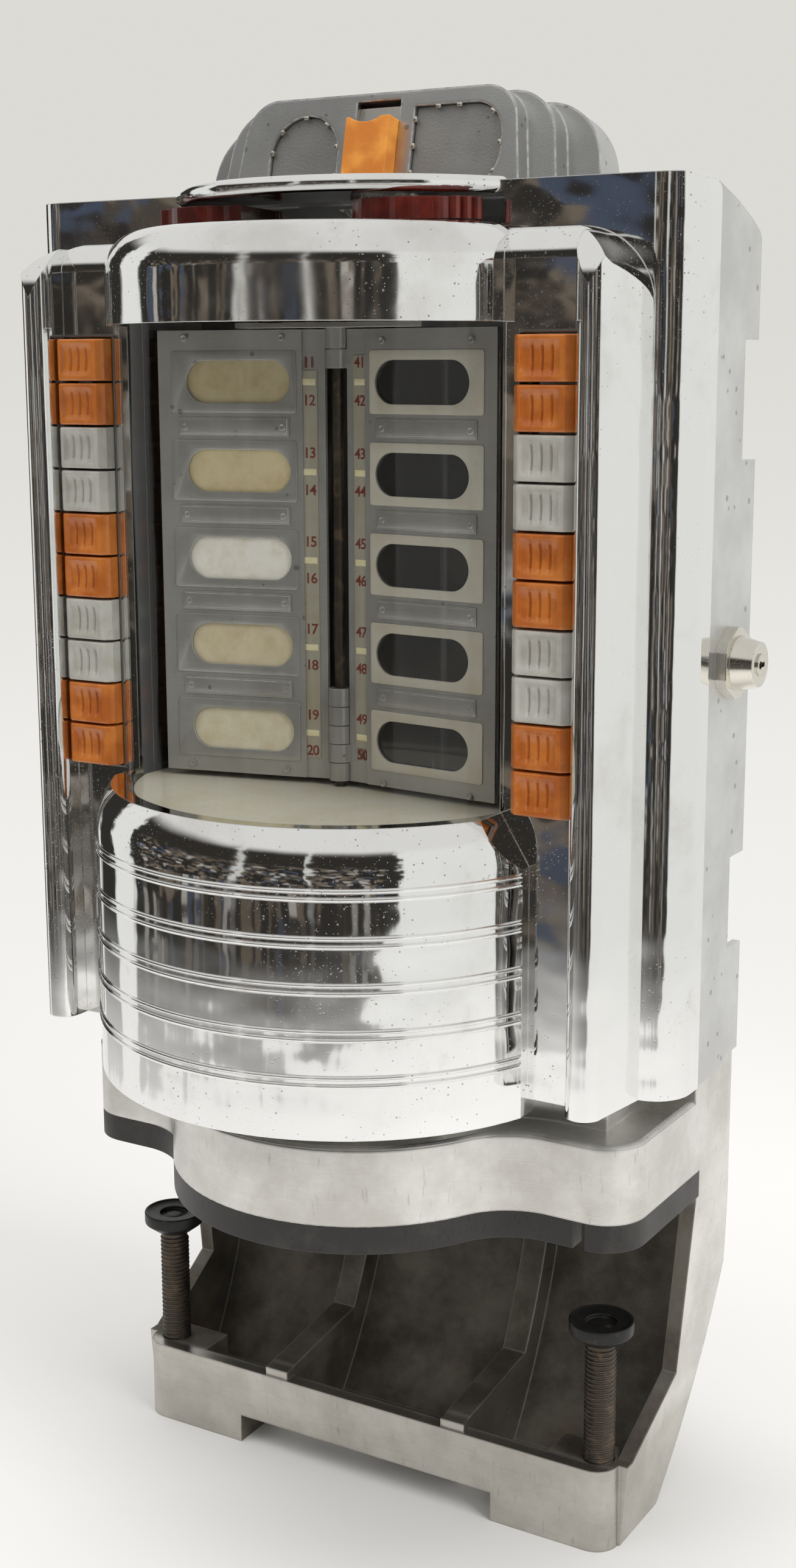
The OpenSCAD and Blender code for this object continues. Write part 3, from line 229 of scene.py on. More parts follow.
def plated(name, colour, dull, wave, pits, rough=0.05):
    """Bright plating over a casting: slow waves in the reflection, fine pits, hazy and stained patches."""
    finish, tree = new_finish(name)
    haze = spread(tree, grain(tree, 14, detail=5, rough=0.65), 0.5, 0.75)
    patch = spread(tree, grain(tree, 11, detail=3), 0.4, 0.62)
    spots = number(tree, "MULTIPLY", specks(tree, 900, pits), patch)
    fine = number(tree, "MULTIPLY", specks(tree, 2100, pits * 1.4), patch)
    stain = spread(tree, grain(tree, 38, detail=6, rough=0.7), 0.6, 0.8)
    tint = mixed(tree, number(tree, "MULTIPLY", haze, 0.55), rgb(*colour), rgb(*dull))
    tint = mixed(tree, number(tree, "MULTIPLY", stain, 0.35), tint, rgb(0.42, 0.36, 0.27))
    tint = mixed(tree, number(tree, "MULTIPLY", spots, 0.6), tint, rgb(0.16, 0.13, 0.1))
    shine = number(tree, "ADD", number(tree, "MULTIPLY", haze, 0.09), rough)
    shine = number(tree, "ADD", shine, number(tree, "MULTIPLY", stain, 0.12))
    pitted = number(tree, "MAXIMUM", spots, fine)
    shine = number(tree, "ADD", shine, number(tree, "MULTIPLY", pitted, 0.3), clamp=True)
    normal = edges(tree, 0.0006)[1]
    slow = bump(tree, grain(tree, 26, 26, 34, detail=1.5), wave, normal)
    hollows = number(tree, "ADD", number(tree, "MULTIPLY", spots, -1.0), number(tree, "MULTIPLY", fine, -0.5))
    relief = bump(tree, hollows, 0.00002, slow)
    close_finish(tree, {"Base Color": tint, "Roughness": shine, "Normal": relief}, metallic=1.0)
    return finish


def cast_metal(name, colour, edge_wear_and_highlight_colour, rough, grain_scale=2600, relief=0.00004, metal=0.92,
               radius=0.0009, brush=None):
    """Satin metal: fine blasted or brushed grain, cloudy tone, and edges painted brighter, partly handling
    wear and partly a painted highlight.
    """
    finish, tree = new_finish(name)
    mask, normal = edges(tree, radius)
    cloud = spread(tree, grain(tree, 22, detail=5, rough=0.6), 0.3, 0.7)
    tiny = grain(tree, *(brush or (grain_scale, grain_scale, grain_scale)), detail=3, rough=0.6)
    nicks = specks(tree, 300, 0.06)
    # edges painted brighter: partly handling wear, partly a painted highlight for the bright rim that edges
    # catch
    worn = number(tree, "MULTIPLY", mask, spread(tree, grain(tree, 260, detail=3), 0.35, 0.6))
    dark = tuple(c * 0.72 for c in colour)
    tint = mixed(tree, cloud, rgb(*dark), rgb(*colour))
    tint = mixed(tree, number(tree, "MULTIPLY", tiny, 0.35), tint, rgb(*(min(1.0, c * 1.25) for c in colour)))
    tint = mixed(tree, number(tree, "MULTIPLY", nicks, 0.7), tint, rgb(*(c * 0.4 for c in colour)))
    tint = mixed(tree, worn, tint, rgb(*edge_wear_and_highlight_colour))
    shine = number(tree, "ADD", number(tree, "MULTIPLY", tiny, 0.16), rough - 0.1)
    shine = number(tree, "SUBTRACT", shine, number(tree, "MULTIPLY", worn, 0.16), clamp=True)
    sockets = {"Base Color": tint, "Roughness": shine, "Normal": bump(tree, tiny, relief, normal)}
    close_finish(tree, sockets, metallic=metal)
    return finish


def moulded(name, colour, deep, rough=0.25, thick=0.25, radius=0.0005):
    """Moulded coloured plastic that the light enters a little, with dirt in it and fine scratches."""
    finish, tree = new_finish(name)
    mask, normal = edges(tree, radius)
    cloud = grain(tree, 90, detail=4)
    dirt = spread(tree, grain(tree, 210, detail=6, rough=0.7), 0.56, 0.75)
    scratch = spread(tree, grain(tree, 900, 900, 60, detail=3), 0.62, 0.72)
    tint = mixed(tree, spread(tree, cloud, 0.35, 0.65), rgb(*deep), rgb(*colour))
    tint = mixed(tree, number(tree, "MULTIPLY", dirt, 0.4), tint, rgb(*(c * 0.4 for c in deep)))
    pale = rgb(*(min(1.0, c * 1.3 + 0.03) for c in colour))
    tint = mixed(tree, number(tree, "MULTIPLY", mask, 0.35), tint, pale)
    shine = number(tree, "ADD", number(tree, "MULTIPLY", dirt, 0.25), rough)
    shine = number(tree, "ADD", shine, number(tree, "MULTIPLY", scratch, 0.15), clamp=True)
    height = number(tree, "SUBTRACT", cloud, number(tree, "MULTIPLY", scratch, 0.2))
    relief = bump(tree, height, 0.00012, normal)
    shader = close_finish(tree, {"Base Color": tint, "Roughness": shine, "Normal": relief}, coat_weight=0.25,
                          subsurface_weight=thick, subsurface_scale=0.002)
    shader.inputs["Subsurface Radius"].default_value = tuple(max(0.1, c) for c in colour)
    shader.inputs["Coat Roughness"].default_value = 0.12
    return finish


def clear_sheet(name):
    """Clear window: see-through, with Fresnel gloss, faint upright streaks and hairline scratches."""
    finish, tree = new_finish(name)
    streak = spread(tree, grain(tree, 130, 130, 2.4, detail=4, rough=0.6), 0.55, 0.75)
    hair = spread(tree, grain(tree, 1500, 1500, 26, detail=2), 0.66, 0.72)
    veil = number(tree, "ADD", number(tree, "MULTIPLY", streak, 0.035), number(tree, "MULTIPLY", hair, 0.05))
    grazing = number(tree, "POWER", put(tree, "ShaderNodeLayerWeight", {"Blend": 0.5}).outputs["Facing"], 5.0)
    gloss = number(tree, "ADD", number(tree, "MULTIPLY", grazing, 0.6), number(tree, "ADD", veil, 0.02))
    outward = number(tree, "SUBTRACT", 1.0, put(tree, "ShaderNodeNewGeometry").outputs["Backfacing"])
    share = number(tree, "MULTIPLY", gloss, outward, clamp=True)
    clear = put(tree, "ShaderNodeBsdfTransparent", {"Color": rgb(0.965, 0.97, 0.965)}).outputs[0]
    mirror = {"Base Color": rgb(0.9, 0.9, 0.9), "Roughness": 0.05, "Metallic": 1.0}
    shiny = put(tree, "ShaderNodeBsdfPrincipled", mirror).outputs[0]
    both = put(tree, "ShaderNodeMixShader", {0: share, 1: clear, 2: shiny}).outputs[0]
    put(tree, "ShaderNodeOutputMaterial", {"Surface": both})
    return finish


CARDS_TOP, CARDS_HEIGHT = 0.475, 0.168      # metres


def paper(name, tones, rough=0.55, gloss=0.0):
    """Card stock in tones that change from one card to the next down the page, with brown mottling."""
    finish, tree = new_finish(name)
    z = place_of(tree)[2]
    step = number(tree, "DIVIDE", number(tree, "SUBTRACT", CARDS_TOP, z), CARDS_HEIGHT)
    ramp = put(tree, "ShaderNodeValToRGB", {"Fac": step})
    ramp.color_ramp.interpolation = "CONSTANT"
    while len(ramp.color_ramp.elements) < len(tones):
        ramp.color_ramp.elements.new(0.5)
    for i, tone in enumerate(tones):
        ramp.color_ramp.elements[i].position = i / len(tones)
        ramp.color_ramp.elements[i].color = rgb(*tone)
    mottle = spread(tree, grain(tree, 120, detail=6, rough=0.7), 0.35, 0.75)
    fibre = grain(tree, 1900, detail=2)
    share = number(tree, "MULTIPLY", mottle, 0.4)
    tint = mixed(tree, share, ramp.outputs[0], rgb(0.62, 0.48, 0.26), "MULTIPLY")
    sockets = {"Base Color": tint, "Normal": bump(tree, fibre, 0.00003)}
    close_finish(tree, sockets, roughness=rough, coat_weight=gloss)
    return finish


def dark_rubber(name):
    finish, tree = new_finish(name)
    mask, normal = edges(tree, 0.0008)
    dust = spread(tree, grain(tree, 45, detail=6, rough=0.7), 0.45, 0.75)
    crack = spread(tree, grain(tree, 1200, 1200, 300, detail=4), 0.6, 0.7)
    dusty = number(tree, "MULTIPLY", dust, 0.6)
    tint = mixed(tree, dusty, rgb(0.018, 0.017, 0.016), rgb(0.085, 0.078, 0.066))
    tint = mixed(tree, number(tree, "MULTIPLY", mask, 0.3), tint, rgb(0.14, 0.13, 0.12))
    shine = number(tree, "ADD", number(tree, "MULTIPLY", dust, 0.25), 0.42)
    close_finish(tree, {"Base Color": tint, "Roughness": shine, "Normal": bump(tree, crack, 0.0001, normal)})
    return finish


def old_steel(name, colour, rust, share, rough=0.4, metal=0.85):
    """Bare or blackened steel with rust, worn bright along its edges."""
    finish, tree = new_finish(name)
    mask, normal = edges(tree, 0.0005)
    rusty = spread(tree, grain(tree, 160, detail=7, rough=0.72), 0.62 - share * 0.3, 0.85 - share * 0.25)
    tiny = grain(tree, 2400, detail=3)
    tint = mixed(tree, rusty, rgb(*colour), rgb(*rust))
    worn = rgb(*(min(1.0, c * 2.2 + 0.08) for c in colour))
    tint = mixed(tree, number(tree, "MULTIPLY", mask, 0.65), tint, worn)
    shine = number(tree, "ADD", number(tree, "MULTIPLY", rusty, 0.3), rough, clamp=True)
    relief = bump(tree, number(tree, "ADD", tiny, number(tree, "MULTIPLY", rusty, 0.8)), 0.00006, normal)
    clean = number(tree, "SUBTRACT", 1.0, number(tree, "MULTIPLY", rusty, 0.8))
    metallic = number(tree, "MULTIPLY", clean, metal)
    close_finish(tree, {"Base Color": tint, "Roughness": shine, "Normal": relief, "Metallic": metallic})
    return finish


def ground_casting(name):
    """Aluminium casting: ground and buffed on its outer faces; inside the jaw rough-cast and brown, and
    painted dark as painted shade.
    """
    finish, tree = new_finish(name)
    mask, normal = edges(tree, 0.0012)
    x, y, z = place_of(tree)
    nx, ny, nz = facing_of(tree)
    # faces inside the jaw, picked by where they face; below they get a rough-cast finish and painted shade
    inward = number(tree, "MULTIPLY", number(tree, "MULTIPLY", nx, number(tree, "SIGN", x)), -1.0)
    below = spread(tree, z, 0.142, 0.13)
    side = number(tree, "MULTIPLY", spread(tree, inward, 0.2, 0.6), below)
    forward = number(tree, "MULTIPLY", ny, -1.0)
    rear = number(tree, "MULTIPLY", spread(tree, forward, 0.2, 0.6), spread(tree, y, -0.012, 0.0))
    rear = number(tree, "MULTIPLY", rear, below)
    bed = number(tree, "MULTIPLY", spread(tree, nz, 0.2, 0.6), spread(tree, z, 0.062, 0.05))
    bed = number(tree, "MULTIPLY", bed, spread(tree, y, -0.031, -0.026))
    roof = number(tree, "MULTIPLY", spread(tree, nz, -0.2, -0.6), spread(tree, z, 0.09, 0.11))
    walls = number(tree, "MAXIMUM", side, rear)
    inside = number(tree, "MAXIMUM", walls, number(tree, "MAXIMUM", bed, roof), clamp=True)
    cloud = grain(tree, 30, detail=6, rough=0.65)
    lines = grain(tree, 30, 60, 1500, detail=3, rough=0.6)
    cross = spread(tree, grain(tree, 500, 500, 90, detail=4, rough=0.6), 0.6, 0.78)
    sand = grain(tree, 800, detail=6, rough=0.75)
    bright = mixed(tree, spread(tree, cloud, 0.35, 0.7), rgb(0.5, 0.485, 0.45), rgb(0.72, 0.71, 0.68))
    bright = mixed(tree, number(tree, "MULTIPLY", lines, 0.5), bright, rgb(0.82, 0.81, 0.78))
    bright = mixed(tree, number(tree, "MULTIPLY", cross, 0.45), bright, rgb(0.28, 0.26, 0.22))
    # rough-cast brown colour inside the jaw, darkened to near black as painted shade
    raw_and_shaded = mixed(tree, spread(tree, cloud, 0.3, 0.7), rgb(0.085, 0.072, 0.055), rgb(0.22, 0.2, 0.165))
    brown = number(tree, "MULTIPLY", spread(tree, grain(tree, 24, detail=5), 0.6, 0.75), 0.6)
    raw_and_shaded = mixed(tree, brown, raw_and_shaded, rgb(0.2, 0.13, 0.06))
    raw_and_shaded = mixed(tree, number(tree, "MULTIPLY", mask, 0.7), raw_and_shaded, rgb(0.46, 0.44, 0.39))
    foot = number(tree, "MULTIPLY", spread(tree, z, 0.05, 0.035), 0.6)
    bright = mixed(tree, foot, bright, rgb(0.66, 0.64, 0.59), "MULTIPLY")
    tint = mixed(tree, inside, bright, raw_and_shaded)
    shine = number(tree, "ADD", number(tree, "MULTIPLY", inside, 0.28), number(tree, "MULTIPLY", lines, 0.2))
    shine = number(tree, "ADD", shine, 0.2, clamp=True)
    gritty = number(tree, "MULTIPLY", number(tree, "MULTIPLY", inside, sand), 3.0)
    height = number(tree, "ADD", number(tree, "MULTIPLY", lines, 0.25), gritty)
    metallic = number(tree, "SUBTRACT", 0.95, number(tree, "MULTIPLY", inside, 0.45))
    relief = bump(tree, height, 0.00008, normal)
    close_finish(tree, {"Base Color": tint, "Roughness": shine, "Normal": relief, "Metallic": metallic})
    return finish


def enamel(name, colour, chip):
    """Old baked enamel, yellowed in clouds, dusty, with fine crazing."""
    finish, tree = new_finish(name)
    mask, normal = edges(tree, 0.0004)
    cloud = spread(tree, grain(tree, 60, detail=5, rough=0.65), 0.35, 0.75)
    dust = spread(tree, grain(tree, 380, detail=5, rough=0.7), 0.55, 0.8)
    aged = rgb(colour[0] * 0.86, colour[1] * 0.76, colour[2] * 0.56)
    tint = mixed(tree, number(tree, "MULTIPLY", cloud, 0.5), rgb(*colour), aged)
    tint = mixed(tree, number(tree, "MULTIPLY", dust, 0.4), tint, rgb(*chip))
    tint = mixed(tree, number(tree, "MULTIPLY", mask, 0.4), tint, rgb(*chip))
    shine = number(tree, "ADD", number(tree, "MULTIPLY", dust, 0.3), 0.34, clamp=True)
    close_finish(tree, {"Base Color": tint, "Roughness": shine, "Normal": bump(tree, dust, 0.00004, normal)})
    return finish


# the cards from the top of the page down
CARD_TONES = [(0.5, 0.42, 0.25), (0.66, 0.56, 0.34), (0.82, 0.79, 0.72), (0.62, 0.54, 0.37),
              (0.7, 0.64, 0.48)]
# painted shade: the right page's cards are a near-black glossy card that stands for the dark depth seen
# through its empty windows
SHADE_CARD = (0.02, 0.02, 0.019)

finishes = {
    "chrome_cover": plated("chrome_cover", (0.88, 0.88, 0.87), (0.62, 0.6, 0.56), 0.0005, 0.1),
    "sill_cream": enamel("sill_cream", (0.62, 0.59, 0.5), (0.3, 0.26, 0.2)),
    "strip_beige": enamel("strip_beige", (0.34, 0.315, 0.25), (0.2, 0.17, 0.12)),
    "card_edge": enamel("card_edge", (0.5, 0.47, 0.4), (0.3, 0.26, 0.2)),
    "mark_cream": enamel("mark_cream", (0.72, 0.66, 0.42), (0.4, 0.34, 0.2)),
    "number_red": enamel("number_red", (0.2, 0.035, 0.025), (0.12, 0.06, 0.04)),
    "bezel_chrome": plated("bezel_chrome", (0.26, 0.25, 0.235), (0.14, 0.13, 0.115), 0.0003, 0.3, 0.42),
    "lock_nickel": plated("lock_nickel", (0.74, 0.71, 0.64), (0.56, 0.52, 0.44), 0.00015, 0.2, 0.14),
    "chute_nickel": plated("chute_nickel", (0.8, 0.78, 0.72), (0.62, 0.58, 0.5), 0.0002, 0.2, 0.16),
    "window_clear": clear_sheet("window_clear"),
    "button_orange": moulded("button_orange", (0.6, 0.19, 0.03), (0.46, 0.12, 0.015)),
    "button_white": moulded("button_white", (0.52, 0.51, 0.46), (0.43, 0.41, 0.36)),
    "guide_amber": moulded("guide_amber", (0.85, 0.36, 0.06), (0.66, 0.22, 0.03), 0.3, 0.4),
    "lever_red": moulded("lever_red", (0.13, 0.016, 0.009), (0.06, 0.008, 0.006), 0.16, 0.05),
    "page_aluminium": cast_metal("page_aluminium", (0.44, 0.43, 0.405), (0.72, 0.71, 0.68), 0.36, metal=0.6,
                                 brush=(60, 60, 2600), radius=0.0003),
    "card_paper": paper("card_paper", CARD_TONES),
    # painted shade: near-black card for the dark depth behind the right page's empty windows
    "card_dark": paper("card_dark", [SHADE_CARD] * len(CARD_TONES), 0.16, 1.0),
    "housing_satin": cast_metal("housing_satin", (0.7, 0.7, 0.69), (0.85, 0.85, 0.84), 0.36, 2200,
                                0.00003, 0.85),
    "head_satin": cast_metal("head_satin", (0.56, 0.56, 0.55), (0.9, 0.9, 0.89), 0.34, 2600,
                             0.00005, 0.95, 0.0014),
    "plate_grey": cast_metal("plate_grey", (0.36, 0.355, 0.34), (0.6, 0.6, 0.58), 0.5, 1100, 0.00012, 0.7),
    "bracket_cast": ground_casting("bracket_cast"),
    "rubber_black": dark_rubber("rubber_black"),
    "pad_black": old_steel("pad_black", (0.03, 0.03, 0.03), (0.09, 0.07, 0.05), 0.25, 0.38, 0.7),
    "steel_dark": old_steel("steel_dark", (0.075, 0.062, 0.048), (0.14, 0.085, 0.045), 0.45, 0.36),
    "steel_plain": old_steel("steel_plain", (0.42, 0.41, 0.39), (0.3, 0.2, 0.12), 0.15, 0.34),
    "bin_grey": old_steel("bin_grey", (0.5, 0.5, 0.47), (0.34, 0.25, 0.15), 0.2, 0.36),
    "wheel_brass": old_steel("wheel_brass", (0.62, 0.45, 0.18), (0.32, 0.2, 0.08), 0.2, 0.28, 1.0),
    "phenolic_brown": moulded("phenolic_brown", (0.2, 0.09, 0.035), (0.12, 0.05, 0.02), 0.35, 0.0),
    "coil_red": moulded("coil_red", (0.34, 0.09, 0.035), (0.2, 0.05, 0.02), 0.3, 0.05),
    "lamp_white": moulded("lamp_white", (0.86, 0.86, 0.82), (0.78, 0.77, 0.72), 0.15, 0.3),
    "ceramic_white": moulded("ceramic_white", (0.76, 0.74, 0.68), (0.64, 0.61, 0.54), 0.3, 0.1),
}

slot_of = {part["node"]: part["material_slot"] for part in frame["record"]["subparts"]}
for name, cad in nodes.items():
    cad.data.materials.clear()
    cad.data.materials.append(finishes[slot_of[name]])


# ---- modelling helpers; every size below is in millimetres ---------------------------------------

MM = 0.001


def begin(name):
    """Names the new primitive and moves its place and scale into its mesh."""
    piece = bpy.context.object
    piece.name = name
    bpy.ops.object.transform_apply(location=True, rotation=True, scale=True)
    return piece


def start_block(name, low, high):
    bpy.ops.object.select_all(action="DESELECT")
    bpy.ops.mesh.primitive_cube_add(size=MM, location=[(a + b) / 2 * MM for a, b in zip(low, high)])
    bpy.context.object.scale = [b - a for a, b in zip(low, high)]
    return begin(name)


def start_rod(name, middle, radius, length, sides, along="Z"):
    bpy.ops.object.select_all(action="DESELECT")
    turn = {"Z": (0, 0, 0), "Y": (math.pi / 2, 0, 0)}[along]
    bpy.ops.mesh.primitive_cylinder_add(vertices=sides, radius=radius * MM, depth=length * MM,
                                        location=[c * MM for c in middle], rotation=turn)
    return begin(name)


def edit(piece):
    bpy.ops.object.select_all(action="DESELECT")
    piece.select_set(True)
    bpy.context.view_layer.objects.active = piece
    bpy.ops.object.mode_set(mode="EDIT")


def done():
    bpy.ops.object.mode_set(mode="OBJECT")


def pick(kind, test):
    """Selects the faces, edges or points whose middle (mm) and direction pass the test."""
    bpy.ops.mesh.select_mode(type=kind)
    bpy.ops.mesh.select_all(action="DESELECT")
    mesh = bmesh.from_edit_mesh(bpy.context.object.data)
    mesh.normal_update()
    for item in {"FACE": mesh.faces, "EDGE": mesh.edges, "VERT": mesh.verts}[kind]:
        if kind == "FACE":
            middle, way = item.calc_center_median(), item.normal
        elif kind == "EDGE":
            a, b = (point.co for point in item.verts)
            middle, way = (a + b) / 2, (b - a).normalized()
        else:
            middle, way = item.co, None
        if test(middle / MM, way):
            item.select_set(True)
    bmesh.update_edit_mesh(bpy.context.object.data)


def push(x=0.0, y=0.0, z=0.0):
    bpy.ops.mesh.extrude_region_move(TRANSFORM_OT_translate={"value": (x * MM, y * MM, z * MM)})


def slide(x=0.0, y=0.0, z=0.0):
    bpy.ops.transform.translate(value=(x * MM, y * MM, z * MM))


def widen(x, y, z, about):
    bpy.ops.transform.resize(value=(x, y, z), center_override=[c * MM for c in about])


def cut(x=None, y=None, z=None):
    """Cuts the whole mesh by a plane square to one axis."""
    bpy.ops.mesh.select_all(action="SELECT")
    place = [x or 0.0, y or 0.0, z or 0.0]
    normal = [float(c is not None) for c in (x, y, z)]
    bpy.ops.mesh.bisect(plane_co=[c * MM for c in place], plane_no=normal)


def bevel(width, steps, shape=0.5):
    bpy.ops.mesh.bevel(offset=width * MM, segments=steps, profile=shape, affect="EDGES")


def refine(piece, kind, **settings):
    """Adds a modifier and applies it at once."""
    bpy.ops.object.select_all(action="DESELECT")
    piece.select_set(True)
    bpy.context.view_layer.objects.active = piece
    step = piece.modifiers.new("step", kind)
    for key, value in settings.items():
        setattr(step, key, value)
    bpy.ops.object.modifier_apply(modifier=step.name)


def merged(name, pieces):
    bpy.ops.object.select_all(action="DESELECT")
    for piece in pieces:
        piece.select_set(True)
    bpy.context.view_layer.objects.active = pieces[0]
    if len(pieces) > 1:
        bpy.ops.object.join()
    bpy.context.object.name = name
    return bpy.context.object


def copy_of(piece, name, move):
    twin = piece.copy()
    twin.data = piece.data.copy()
    twin.name = name
    twin.data.transform(move)
    scene.collection.objects.link(twin)
    return twin


def give(piece, finish, slot, body, *stands_for, angle=35):
    """Shading by angle, finish, the body it rides on and the nodes it stands for."""
    bpy.ops.object.select_all(action="DESELECT")
    piece.select_set(True)
    bpy.context.view_layer.objects.active = piece
    bpy.ops.object.shade_smooth_by_angle(angle=math.radians(angle))
    piece.data.materials.clear()
    piece.data.materials.append(finishes[finish])
    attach(piece, body)
    if stands_for:
        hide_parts(*stands_for)


def shift(x=0.0, y=0.0, z=0.0):
    return Matrix.Translation((x * MM, y * MM, z * MM))


# ---- push buttons --------------------------------------------------------------------------------

COLUMN_X, COLUMN_Z, BUTTON_PITCH = 100.5, 306.8, 16.8
SEAT_Y, BUTTON_BACK, STEM_END = -76.0, -65.3, -41.0
BUTTON_HALF_W, BUTTON_HALF_H = 11.5, 7.95
FLANGE_W, FLANGE_T, STEM_W, STEM_H = 27.4, 1.5, 6, 4
HOLLOW_ROWS = [-6.5, -5.6, -4.2, -2.6, -0.8, 1.0, 2.8, 4.4, 5.7, 6.5]
HOLLOW_DEPTH, GROOVE_DEPTH, GROOVE_HALF = 1.5, 0.95, 0.75
GROOVES = (-4.1, -0.3, 3.5)


def button_z(row):
    return COLUMN_Z + (9.5 - row) * BUTTON_PITCH


def make_button():
    """The top left button: finger hollow with three grooves, slanted sides, flange and stem."""
    x0, z0, half_w, half_h, back = -COLUMN_X, button_z(0), BUTTON_HALF_W, BUTTON_HALF_H, BUTTON_BACK
    piece = start_block("push_button", (x0 - half_w, SEAT_Y, z0 - half_h), (x0 + half_w, back, z0 + half_h))
    edit(piece)
    pick("EDGE", lambda m, d: abs(d.z) > 0.9 and m.y < SEAT_Y + 1)
    bevel(2.5, 3, 0.3)
    pick("EDGE", lambda m, d: abs(abs(m.z - z0) - half_h) < 0.01 and m.y < SEAT_Y + 3.2 and abs(d.z) < 0.5)
    bevel(0.8, 3)
    for row in HOLLOW_ROWS:
        cut(z=z0 + row)
    for groove in GROOVES:
        for side in (-GROOVE_HALF, 0.0, GROOVE_HALF):
            cut(x=x0 + groove + side)
    for edge in (-8.2, -7.4, 6.4, 7.2):
        cut(x=x0 + edge)
    for row in HOLLOW_ROWS[1:-1]:
        hollow = HOLLOW_DEPTH * (1 - abs((row - 0.2) / 6.6) ** 2.4)
        pick("VERT", lambda m, d: abs(m.z - z0 - row) < 0.05 and m.y < SEAT_Y + 0.02
             and -7.5 < m.x - x0 < 6.5)
        slide(y=hollow)
        if -5.0 < row < 5.0:
            pick("VERT", lambda m, d: abs(m.z - z0 - row) < 0.05 and m.y < SEAT_Y + 2
                 and min(abs(m.x - x0 - groove) for groove in GROOVES) < 0.05)
            slide(y=GROOVE_DEPTH)
    # flange behind the panel, and the stem to the switches
    pick("FACE", lambda m, n: n.y > 0.9 and m.y > back - 0.1)
    push()
    widen(FLANGE_W / (2 * half_w), 1, 1, (x0, back, z0))
    push(y=FLANGE_T)
    push()
    widen(STEM_W / FLANGE_W, 1, STEM_H / (2 * half_h), (x0, back, z0))
    push(y=STEM_END - back - FLANGE_T)
    bpy.ops.mesh.select_all(action="SELECT")
    bpy.ops.mesh.remove_doubles(threshold=0.000004)
    done()
    return piece


first_button = make_button()
for row in range(10):
    finish = "button_orange" if row // 2 % 2 == 0 else "button_white"
    for side, letter in ((-1, "l"), (1, "r")):
        name = "button_%s%02d" % (letter, row + 1)
        move = shift(x=COLUMN_X * (side + 1), z=button_z(row) - button_z(0))
        twin = copy_of(first_button, "push_" + name, move)
        give(twin, finish, finish, name, name, angle=28)
bpy.data.objects.remove(first_button)


# ---- title pages ---------------------------------------------------------------------------------

SPINDLE_Y, CARD_PITCH, CARDS = -46.0, 33.6, 5
PAGE_Z0, PAGE_Z1 = 305.8, 477.3
# along the page from its hinge, out from its middle plane, and half heights
PLATE_U0, PLATE_U1, PLATE_IN, PLATE_OUT, PLATE_HALF_H = 16.4, 68.6, 1.15, 1.6, 11.6
SLOT_U0, SLOT_U1, SLOT_R = 27, 54, 8
BAR_U0, BAR_U1, BAR_IN, BAR_OUT, BAR_HALF_H = 19.5, 65.5, 1.1, 1.75, 3.5
SCREW_U, SCREW_STEP, END_SCREW = 22.2, 40.6, 2.8
STRIP_U0, STRIP_U1, STRIP_IN, STRIP_OUT = 8.0, 14.6, 0.35, 0.74
MARK_U0, MARK_U1, MARK_IN, MARK_OUT, MARK_HALF_H = 8.6, 14.0, 0.7, 0.79, 1.25
NUMBER_U, NUMBER_OUT, NUMBER_SIZE, NUMBER_RISE = 11.3, 0.76, 5.6, 7.0


def window_z(i):
    return COLUMN_Z + (i + 0.5) * CARD_PITCH


def make_window_plate():
    """Thin frame round one window, for a page lying along +X with its face towards +Y."""
    z = window_z(0)
    plate = start_block("window_plate", (PLATE_U0, PLATE_IN, z - PLATE_HALF_H),
                        (PLATE_U1, PLATE_OUT, z + PLATE_HALF_H))
    edit(plate)
    pick("EDGE", lambda m, d: abs(d.y) > 0.9)
    bevel(1.2, 3)
    done()
    cutters = [start_block("hole", (SLOT_U0, 0.5, z - SLOT_R), (SLOT_U1, 2.5, z + SLOT_R))]
    cutters += [start_rod("hole_end", (u, 1.5, z), SLOT_R, 2, 40, "Y") for u in (SLOT_U0, SLOT_U1)]
    for cutter in cutters:
        refine(plate, "BOOLEAN", operation="DIFFERENCE", object=cutter, solver="EXACT")
    for cutter in cutters:
        bpy.data.objects.remove(cutter)
    refine(plate, "BEVEL", width=0.14 * MM, segments=2, limit_method="ANGLE", angle_limit=math.radians(40))
    return plate


def make_bar():
    """Retaining bar between two windows, held by a small screw at each end."""
    z = (window_z(0) + window_z(1)) / 2
    bar = start_block("bar", (BAR_U0, BAR_IN, z - BAR_HALF_H), (BAR_U1, BAR_OUT, z + BAR_HALF_H))
    edit(bar)
    pick("FACE", lambda m, n: n.y > 0.9)
    bpy.ops.mesh.inset(thickness=0.7 * MM)
    push(y=0.2)
    done()
    refine(bar, "BEVEL", width=0.2 * MM, segments=2, limit_method="ANGLE", angle_limit=math.radians(30))
    return bar


def make_page_screw(u, z):
    """Small round-headed screw with a hollow in its head."""
    screw = start_rod("page_screw", (u, 1.5, z), 1.35, 1.0, 16, "Y")
    edit(screw)
    pick("FACE", lambda m, n: n.y > 0.9)
    bpy.ops.mesh.inset(thickness=0.45 * MM)
    slide(y=0.12)
    bpy.ops.mesh.inset(thickness=0.3 * MM)
    slide(y=-0.35)
    done()
    return screw


def page_matrix(angle, face):
    """From a page lying along +X, its face towards +Y, to its place; a negative face is the other side."""
    place = Matrix.Translation((0, SPINDLE_Y * MM, 0)) @ Matrix.Rotation(math.radians(angle), 4, "Z")
    if face < 0:
        # half a turn about the page's own length, through its middle height
        middle = Matrix.Translation((0, 0, window_z(2) * MM))
        place = place @ middle @ Matrix.Rotation(math.pi, 4, "X") @ middle.inverted()
    return place


def make_plates():
    """The five window frames of one side of a page."""
    plate = make_window_plate()
    rest = [copy_of(plate, "window_plate", shift(z=CARD_PITCH * i)) for i in range(1, CARDS)]
    return merged("window_plates", [plate] + rest)


